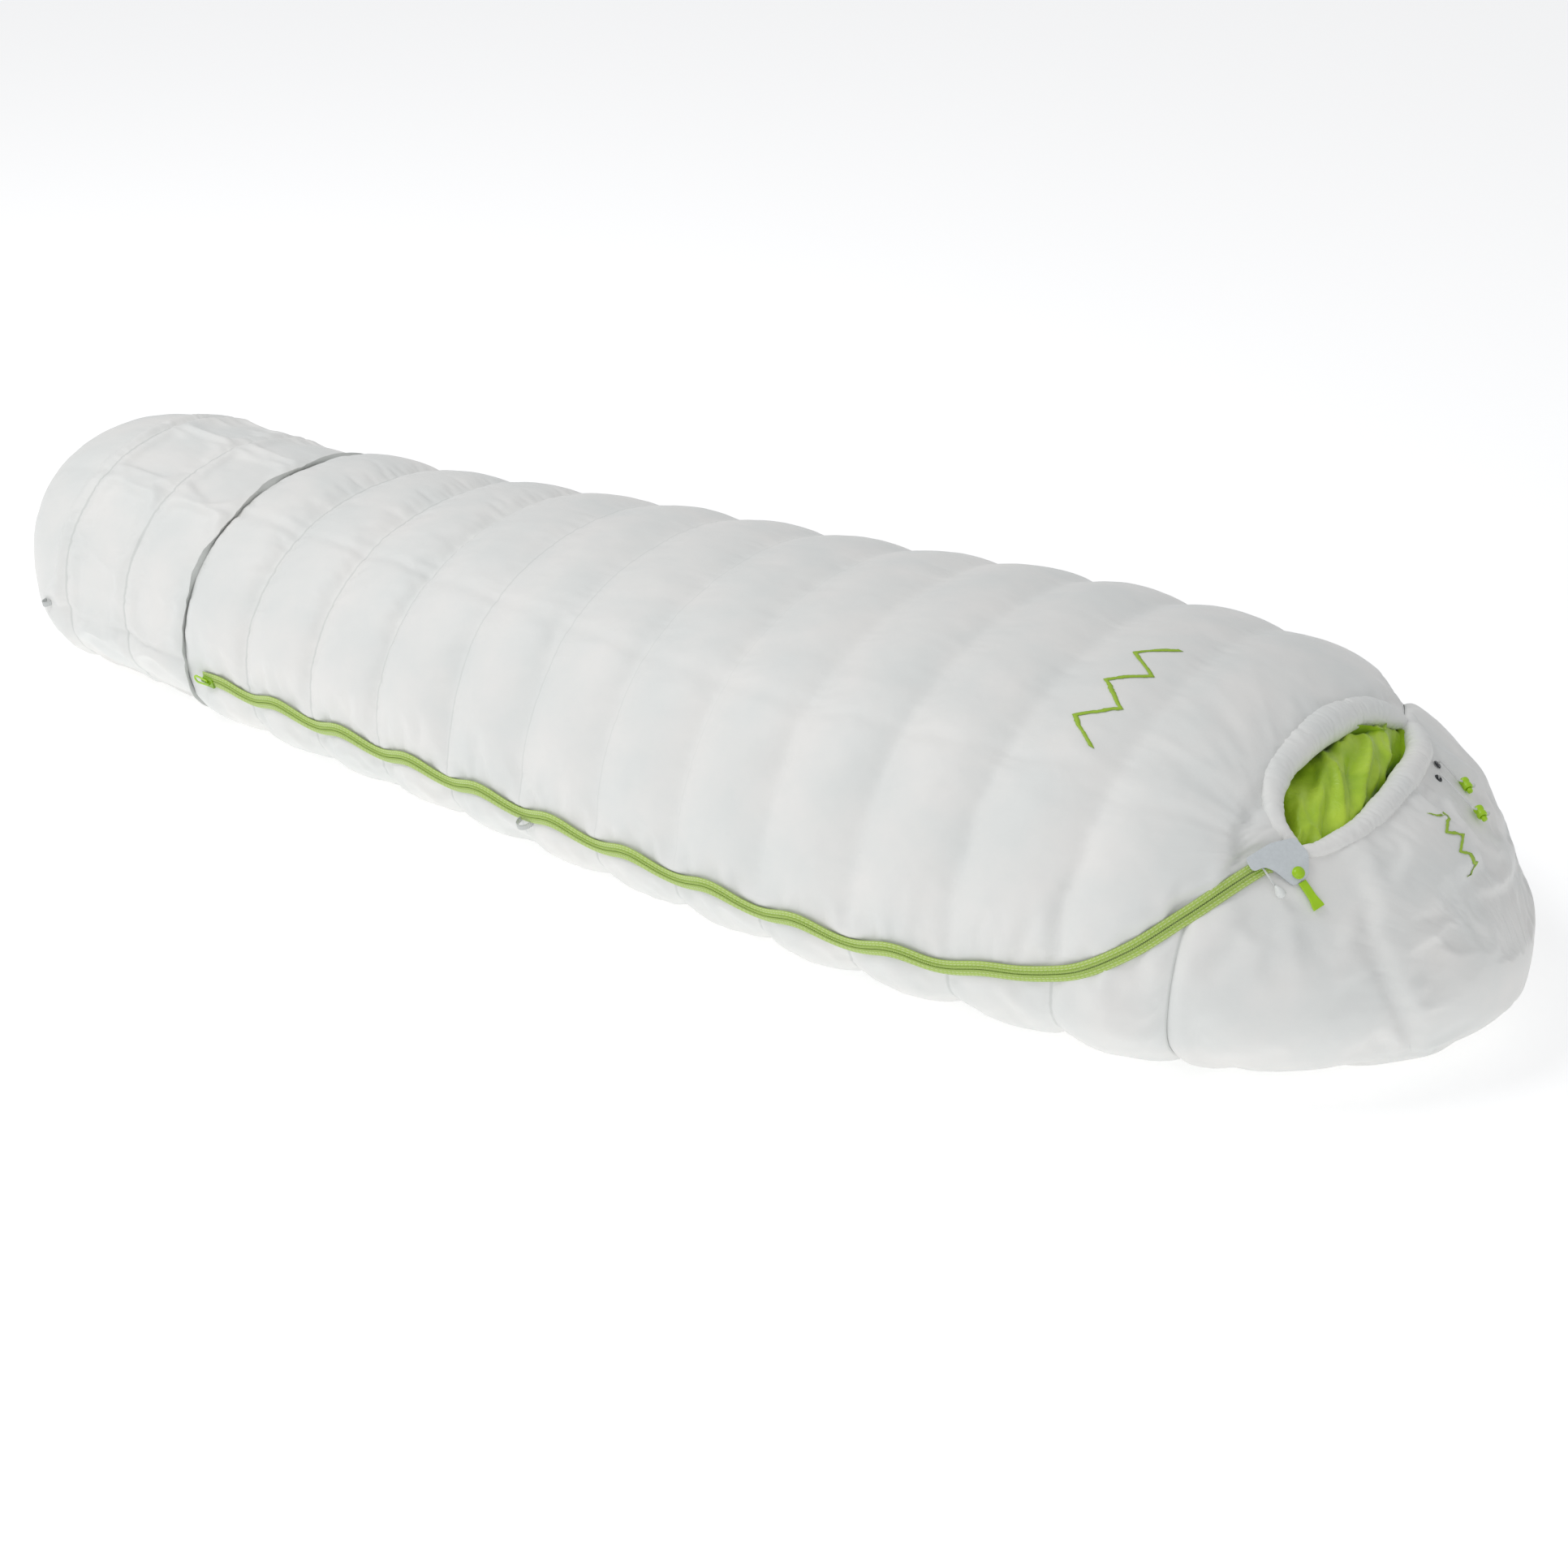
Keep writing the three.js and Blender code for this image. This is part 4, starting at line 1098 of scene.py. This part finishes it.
def lay_tube(name, spots, radius, sides, material, lean=(0.0, 0.0, 1.0)):
    """a grid rolled round a line; radius gives the size at a share along and an angle round"""
    frames = route_frames(spots, lean)
    bm = bmesh.new()
    bmesh.ops.create_grid(bm, x_segments=len(spots) - 1, y_segments=sides, size=0.5)
    along_layer = bm.verts.layers.float.new("along")
    for v in bm.verts:
        i = round((v.co.x + 0.5) * (len(spots) - 1))
        angle = (v.co.y + 0.5) * 2 * math.pi
        forward, side, up = frames[i]
        size = radius(i / (len(spots) - 1), angle)
        v[along_layer] = i / (len(spots) - 1)
        v.co = spots[i] + (side * math.cos(angle) + up * math.sin(angle)) * size
    bmesh.ops.remove_doubles(bm, verts=bm.verts, dist=1e-6)
    bmesh.ops.holes_fill(bm, edges=[e for e in bm.edges if e.is_boundary], sides=0)
    bmesh.ops.recalc_face_normals(bm, faces=bm.faces)
    return add_piece(name, bm, material)


def rim_size(length, seed, fullness):
    def size(share, angle):
        gather = noise.noise(Vector((share * length / 0.007, math.cos(angle) * 0.9, math.sin(angle) * 0.9 + seed)))
        lump = noise.noise(Vector((share * length / 0.035, seed, 0.0)))
        ends = min(share / 0.03, (1 - share) / 0.03, 1.0)
        full = float(np.interp(share, (0.0, 0.08, 0.25, 0.60, 0.90, 1.0), fullness))
        size = rim_radius * full * (1 + 0.15 * (0.4 - abs(gather)) + 0.10 * lump) * (1 + 0.15 * math.cos(angle) ** 2)
        return size * (0.55 + 0.45 * math.sqrt(ends))

    return size


for name, edge, node, fullness in (
    ("cover_rim_cloth", opening_foot_edge, "cover_rim_roll", (0.50, 0.62, 1.10, 1.40, 1.15, 0.70)),
    ("hood_rim_cloth", opening_head_edge, "hood_rim_roll", (0.50, 0.66, 0.90, 1.12, 0.95, 0.70)),
):
    spots = rim_spots(edge, 240)
    length = sum((b - a).length for a, b in zip(spots, spots[1:]))
    piece = lay_tube(name, spots, rim_size(length, len(name), fullness), 28, shell_paint)
    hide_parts(node)
    if node == "cover_rim_roll":
        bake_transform(piece)
    else:
        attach(piece, "bag")


# ---------- zip tapes and coils ----------
# Woven lime tape sewn to both edges with two rows of light thread; the coils are ridged nylon.

zip_foot, zip_top = -0.612, 0.846
tape_width, tape_thick = 0.0086, 0.0009
coil_pitch = 0.0024


def zip_line(from_x, to_x, step):
    """points, forward, up and out directions spaced evenly along the zip"""
    count = 1200
    spots = []
    for k in range(count + 1):
        x = from_x + (to_x - from_x) * k / count
        turn = zip_turn(x)
        spots.append(form_point(x, turn) + form_normal(x, turn) * zip_lift(x))
    travel = np.concatenate([[0.0], np.cumsum([(b - a).length for a, b in zip(spots, spots[1:])])])
    steps = int(travel[-1] / step)
    xs = np.interp(np.linspace(0, travel[-1], steps + 1), travel, np.linspace(from_x, to_x, count + 1))
    rows = []
    for x in xs:
        turn = zip_turn(float(x))
        normal = form_normal(float(x), turn)
        rows.append((form_point(float(x), turn) + normal * zip_lift(float(x)), normal))
    frames = []
    for i, (spot, normal) in enumerate(rows):
        forward = (rows[min(i + 1, steps)][0] - rows[max(i - 1, 0)][0]).normalized()
        up = normal.cross(forward).normalized() * -1
        out = forward.cross(up).normalized()
        if out.dot(normal) < 0:
            up, out = -up, -out
        frames.append((spot, forward, up, out))
    return frames, float(travel[-1])


def tape_material():
    paint, shader, spot = new_paint("lime_tape", Roughness=0.62, Sheen_Weight=0.3)
    stitch = add_node(paint, "Attribute")
    stitch.attribute_name = "thread"
    weave = add_node(paint, "TexNoise", Scale=900.0, Detail=2.0, Vector=spot).outputs["Fac"]
    ground = add_node(paint, "MixRGB", Fac=weave, Color1=(0.330, 0.490, 0.070, 1.0), Color2=(0.450, 0.610, 0.120, 1.0))
    sewn = add_node(paint, "MixRGB", Fac=stitch.outputs["Fac"], Color1=ground.outputs["Color"],
                    Color2=(0.62, 0.72, 0.38, 1.0))
    return join(paint, shader, sewn, add_node(paint, "Bump", Strength=0.5, Distance=0.0004, Height=weave))


tape_paint = tape_material()
tape_line, _ = zip_line(zip_foot, zip_top, 0.0016)
thread_rows = (0.0046, 0.0074)
for name, direction, node in (
    ("zip_tape_cover_cloth", 1.0, "zip_tape_cover"),
    ("zip_tape_under_cloth", -1.0, "zip_tape_under"),
):
    bm = bmesh.new()
    rows = 12
    bmesh.ops.create_grid(bm, x_segments=len(tape_line) - 1, y_segments=rows, size=0.5)
    thread_layer = bm.verts.layers.float.new("thread")
    for v in bm.verts:
        i = round((v.co.x + 0.5) * (len(tape_line) - 1))
        w = 0.0004 + (tape_width - 0.0004) * (v.co.y + 0.5)
        spot, forward, up, out = tape_line[i]
        lift = 0.0012 - 0.0006 * smooth_step(w, 0.005, tape_width)
        row = min(abs(w - t) for t in thread_rows)
        on_thread = row < 0.0004 and i % 3 != 0
        v[thread_layer] = 1.0 if on_thread else 0.0
        if on_thread:
            lift += 0.0003
        v.co = spot + up * (direction * w) + out * lift
    if direction > 0:
        bmesh.ops.reverse_faces(bm, faces=bm.faces)
    piece = add_piece(name, bm, tape_paint)
    thick = piece.modifiers.new("thick", "SOLIDIFY")
    thick.thickness = tape_thick
    thick.offset = -1.0
    settle_modifiers(piece)
    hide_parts(node)
    if direction > 0:
        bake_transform(piece)
    else:
        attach(piece, "bag")


def plastic_material(name, colour, roughness=0.35, mottle=0.06, scale=140.0):
    paint, shader, spot = new_paint(name, Roughness=roughness, Specular_IOR_Level=0.5)
    grain = add_node(paint, "TexNoise", Scale=scale, Detail=4.0, Vector=spot).outputs["Fac"]
    tone = add_node(paint, "MixRGB", Fac=grain, Color1=(*[c * (1 - 2 * mottle) for c in colour], 1.0),
                    Color2=(*[min(c * (1 + 2 * mottle), 1.0) for c in colour], 1.0))
    return join(paint, shader, tone, add_node(paint, "Bump", Strength=0.12, Distance=0.0005, Height=grain))


coil_paint = plastic_material("green_coil", (0.380, 0.520, 0.120), 0.42, 0.1, 600.0)
coil_line, _ = zip_line(-0.606, 0.842, coil_pitch / 4)
for name, direction, node in (
    ("zip_coil_cover_teeth", 1.0, "zip_coil_cover"),
    ("zip_coil_under_teeth", -1.0, "zip_coil_under"),
):
    bm = bmesh.new()
    sides = 8
    bmesh.ops.create_grid(bm, x_segments=len(coil_line) - 1, y_segments=sides, size=0.5)
    for v in bm.verts:
        i = round((v.co.x + 0.5) * (len(coil_line) - 1))
        angle = (v.co.y + 0.5) * 2 * math.pi
        spot, forward, up, out = coil_line[i]
        tooth = (0.48, 0.92, 1.0, 0.88)[(i + (2 if direction > 0 else 0)) % 4]
        wide, high = 0.0015 * tooth, 0.0014 * tooth
        v.co = spot + up * (direction * 0.0016 + math.cos(angle) * wide) + out * (0.0026 + math.sin(angle) * high)
    bmesh.ops.remove_doubles(bm, verts=bm.verts, dist=1e-6)
    bmesh.ops.holes_fill(bm, edges=[e for e in bm.edges if e.is_boundary], sides=0)
    bmesh.ops.recalc_face_normals(bm, faces=bm.faces)
    piece = add_piece(name, bm, coil_paint)
    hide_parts(node)
    if direction > 0:
        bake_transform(piece)
    else:
        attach(piece, "bag")


# ---------- sliders, stops, stud and eyelets ----------
# Small hard parts kept as they are: painted metal sliders, a moulded lime stud and dark metal eyelets.

hard_paints = {
    "lime": plastic_material("lime_plastic_gloss", (0.360, 0.620, 0.010), 0.28, 0.04),
    "slider": plastic_material("lime_slider_paint", (0.230, 0.420, 0.020), 0.30, 0.08),
    "bead": plastic_material("white_bead", (0.74, 0.76, 0.74), 0.35, 0.03),
    "metal": plastic_material("dark_eyelet", (0.045, 0.050, 0.055), 0.30, 0.15),
    "loop": braid_material("white_loop_band", (0.70, 0.72, 0.71)),
}
hard_paints["metal"].node_tree.nodes["Principled BSDF"].inputs["Metallic"].default_value = 0.8
for node, paint in {
    "foot_slider": "slider", "top_slider": "slider", "foot_puller": "lime",
    "foot_stop": "slider", "top_stop": "slider", "snap_stud": "lime",
    "eyelet_1": "metal", "eyelet_2": "metal",
}.items():
    for slot_row in frame["nodes"][node].material_slots:
        slot_row.material = hard_paints[paint]


# ---------- flap over the zip's top, with its snap and pull tab ----------
# A small flap of pale coated cloth with a turned white hem, closed by a moulded snap on the hood.

flap_place = Matrix((
    (0.4492, -0.7749, 0.4447, 0.8330),
    (0.8384, 0.1936, -0.5095, -0.20831),
    (0.3087, 0.6017, 0.7366, 0.24273),
    (0.0, 0.0, 0.0, 1.0),
))
flap_outline = [(-12, 12), (20, 12), (46, 4), (50, -16), (38, -34), (18, -36), (9, -14), (2, -5), (-12, -3)]


def flap_height(up):
    return 0.0145 + (up - 0.012) * 0.25


bm = bmesh.new()
corners = [bm.verts.new((x / 1000, y / 1000, 0.0)) for x, y in flap_outline]
bm.faces.new(corners)
bmesh.ops.bevel(bm, geom=list(bm.verts), offset=0.004, segments=4, profile=0.5, affect="VERTICES", material=-1)
bm.faces.ensure_lookup_table()
made = bmesh.ops.inset_region(bm, faces=list(bm.faces), thickness=0.0024, depth=0.0)
hem_faces = set(made["faces"])
inner = [f for f in bm.faces if f not in hem_faces]
for f in hem_faces:
    f.material_index = 1
bmesh.ops.triangulate(bm, faces=inner)
bmesh.ops.subdivide_edges(bm, edges=[e for e in bm.edges], cuts=2, use_grid_fill=True)
for v in bm.verts:
    wave = noise.noise(Vector((v.co.x / 0.012, v.co.y / 0.02, 1.0)))
    v.co.z = flap_height(v.co.y) + 0.0016 + 0.0007 * wave
bmesh.ops.transform(bm, matrix=flap_place, verts=bm.verts)
bmesh.ops.recalc_face_normals(bm, faces=bm.faces)
flap_cloth = plastic_material("flap_cloth", (0.60, 0.64, 0.66), 0.55, 0.05, 300.0)
flap_hem = plastic_material("flap_hem", (0.80, 0.81, 0.80), 0.6, 0.05, 400.0)
flap = add_piece("zip_flap_cloth", bm, flap_cloth)
flap.data.materials.append(flap_hem)
thick = flap.modifiers.new("thick", "SOLIDIFY")
thick.thickness = 0.0018
thick.offset = -1.0
rounder = flap.modifiers.new("round", "BEVEL")
rounder.width = 0.0005
rounder.segments = 2
settle_modifiers(flap)
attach(flap, "flap_body")
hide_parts("zip_flap")


def turned(profile_rows, place, segments=28):
    """a round part spun from its (radius, height) rows about its own axis, then put in place"""
    bm = bmesh.new()
    points = [bm.verts.new((r, 0.0, h)) for r, h in profile_rows]
    edges = [bm.edges.new(pair) for pair in zip(points, points[1:])]
    bmesh.ops.spin(bm, geom=points + edges, cent=(0, 0, 0), axis=(0, 0, 1), angle=2 * math.pi,
                   steps=segments, use_merge=True)
    bmesh.ops.remove_doubles(bm, verts=bm.verts, dist=1e-6)
    bmesh.ops.recalc_face_normals(bm, faces=bm.faces)
    bmesh.ops.transform(bm, matrix=place, verts=bm.verts)
    return bm


lime_gloss = hard_paints["lime"]
snap_place = flap_place @ Matrix.Translation((0.029, -0.027, flap_height(-0.027) + 0.002))
bm = turned([(0, 0), (0.0065, 0), (0.0067, 0.0007), (0.0066, 0.0014), (0.0058, 0.0019), (0.0050, 0.0018),
             (0.0044, 0.0026), (0.0030, 0.0033), (0.0014, 0.0036), (0, 0.0037)], snap_place)
snap = add_piece("snap_cap_dome", bm, lime_gloss)
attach(snap, "flap_body")
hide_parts("snap_cap")

bm = bmesh.new()
made = bmesh.ops.create_grid(bm, x_segments=8, y_segments=24, size=0.5)
for v in bm.verts:
    down = v.co.y + 0.5
    wide = 0.0045 + 0.0022 * smooth_step(down, 0.55, 1.0)
    v.co = Vector((0.028 + v.co.x * 2 * wide, -0.0360 - 0.031 * down,
                   flap_height(-0.0354) + 0.0012 + 0.0012 * math.sin(down * 2.6) - 0.0040 * down))
bmesh.ops.transform(bm, matrix=flap_place, verts=bm.verts)
tab = add_piece("pull_tab_loop", bm, lime_gloss)
fold = tab.modifiers.new("fold", "SOLIDIFY")
fold.thickness = 0.0024
fold.offset = 0.0
rounder = tab.modifiers.new("round", "BEVEL")
rounder.width = 0.0006
rounder.segments = 2
settle_modifiers(tab)
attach(tab, "pull_tab_body")
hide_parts("pull_tab")


# ---------- top slider's pull ----------
# A pear-shaped white bead moulded round a doubled thin cord, which passes through the slider's arch.

pear = [(0, 0.0255), (0.0012, 0.0257), (0.0019, 0.0268), (0.0030, 0.0292), (0.0044, 0.0322), (0.0051, 0.0350),
        (0.0048, 0.0376), (0.0036, 0.0393), (0.0018, 0.0400), (0, 0.0402)]
pull_axis = flap_place @ Matrix.Translation((0, 0, 0.0089)) @ Matrix.Rotation(math.pi / 2, 4, "X")
bm = turned(pear, pull_axis)
for side in (-1, 1):
    strand = pull_axis @ Matrix.Translation((side * 0.0005, 0, 0.0125)) @ Matrix.Rotation(side * 0.01, 4, "Y")
    bmesh.ops.create_cone(bm, cap_ends=True, segments=10, radius1=0.00055, radius2=0.00055, depth=0.028,
                          matrix=strand)
bmesh.ops.create_uvsphere(bm, u_segments=12, v_segments=8, radius=0.0013,
                          matrix=pull_axis @ Matrix.Translation((0, 0, -0.0015)))
pull = add_piece("top_pull_bead", bm, hard_paints["bead"])
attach(pull, "top_pull_body")
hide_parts("top_pull")


# ---------- hanging loops ----------
# Short folded bands of white webbing, sewn into the side seam at the foot and halfway along.

for name, node, base, width_axis, out_axis, wide, high in (
    ("foot_loop_band", "foot_loop", (-0.9300, -0.2086, 0.1120), (-0.986, 0.167, 0.0),
     (-0.165, -0.975, -0.150), 0.012, 0.015),
    ("side_loop_band", "side_loop", (-0.0380, -0.2986, 0.0780), (-0.993, 0.114, 0.0),
     (-0.111, -0.963, -0.247), 0.018, 0.016),
):
    sideways, outward = Vector(width_axis), Vector(out_axis)
    upward = sideways.cross(outward).normalized()
    bm = bmesh.new()
    bmesh.ops.create_grid(bm, x_segments=36, y_segments=4, size=0.5)
    for v in bm.verts:
        angle = (v.co.x + 0.5) * math.pi
        bulge = math.sin(angle) ** 0.6 if 0 < angle < math.pi else 0.0
        reach = high * bulge - 0.002
        v.co = Vector(base) + sideways * (math.cos(angle) * wide / 2) + outward * reach + upward * (v.co.y * 0.007)
    loop = add_piece(name, bm, hard_paints["loop"])
    thick = loop.modifiers.new("thick", "SOLIDIFY")
    thick.thickness = 0.0011
    thick.offset = 0.0
    settle_modifiers(loop)
    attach(loop, "bag")
    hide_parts(node)


# ---------- cord locks ----------
# Moulded lime barrels with a sprung button at one end, each riding on its hood cord.

lock_turn = Matrix(((0.7447, 0.2742, 0.6085), (-0.5094, 0.8226, 0.2526), (-0.4313, -0.4981, 0.7523))).to_4x4()
lock_height = 0.0059
lock_spots = {1: (0.934, 0.096, 0.22944), 2: (0.962, 0.068, 0.21620)}
barrel = [(0, -0.007), (0.0040, -0.007), (0.0050, -0.0062), (0.0055, -0.0050), (0.0055, -0.0020), (0.0050, -0.0012),
          (0.0050, 0.0008), (0.0055, 0.0016), (0.0055, 0.0050), (0.0048, 0.0064), (0.0034, 0.0064), (0.0034, 0.0004),
          (0, 0.0004)]
button = [(0, 0.0035), (0.0031, 0.0035), (0.0031, 0.0102), (0.0026, 0.0112), (0.0014, 0.0115), (0, 0.0115)]
for number, at in lock_spots.items():
    lifted = Matrix.Translation(at) @ lock_turn @ Matrix.Translation((0, 0, lock_height))
    place = lifted @ Matrix.Rotation(math.pi / 2, 4, "Y")
    piece = add_piece(f"cord_lock_barrel_{number}", turned(barrel, place), lime_gloss)
    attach(piece, f"lock_body_{number}")
    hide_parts(f"cord_lock_{number}")
    piece = add_piece(f"cord_lock_button_{number}", turned(button, place), lime_gloss)
    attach(piece, f"lock_button_body_{number}")
    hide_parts(f"lock_button_{number}")


# ---------- printed marks ----------
# A plain zigzag line in lime ink, printed on the foot, the chest and the hood.

ink = plastic_material("lime_ink", (0.330, 0.520, 0.030), 0.5, 0.08, 500.0)


def zigzag_on(name, shell, start, end, high, stroke, peaks=3):
    """a zigzag line laid on the shell between two points"""
    tree = BVHTree.FromPolygons([v.co for v in shell.data.vertices], [p.vertices for p in shell.data.polygons])
    a, b = Vector(start), Vector(end)
    middle, facing, _, _ = tree.find_nearest((a + b) / 2)
    side = facing.cross(b - a).normalized()
    bm = bmesh.new()
    bmesh.ops.create_grid(bm, x_segments=peaks * 40, y_segments=2, size=0.5)
    for v in bm.verts:
        share, w = v.co.x + 0.5, v.co.y
        phase = (share * peaks) % 1.0 if share < 1 else 1.0
        level = 1 - abs(2 * phase - 1)
        lean = math.hypot(1, 2 * peaks * high / (b - a).length)
        aim = a.lerp(b, share) + side * ((level - 0.5) * high + w * stroke * lean)
        spot, normal, _, _ = tree.find_nearest(aim)
        v.co = spot + normal * 0.0009
    bmesh.ops.recalc_face_normals(bm, faces=bm.faces)
    piece = add_piece(name, bm, ink)
    film = piece.modifiers.new("film", "SOLIDIFY")
    film.thickness = 0.0004
    film.offset = 0.0
    settle_modifiers(piece)
    return piece


mark = zigzag_on("foot_mark", shells["foot_shell_cloth"],
                 (-0.935, -0.200, 0.172), (-0.790, -0.226, 0.118), 0.030, 0.0040)
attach(mark, "bag")
mark = zigzag_on("chest_mark", shells["cover_shell_cloth"],
                 (0.617, -0.195, 0.308), (0.624, -0.010, 0.345), 0.034, 0.0042)
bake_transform(mark)
mark = zigzag_on("hood_mark", shells["hood_shell_cloth"],
                 (0.935, -0.012, 0.238), (0.984, -0.020, 0.194), 0.020, 0.0028)
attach(mark, "bag")
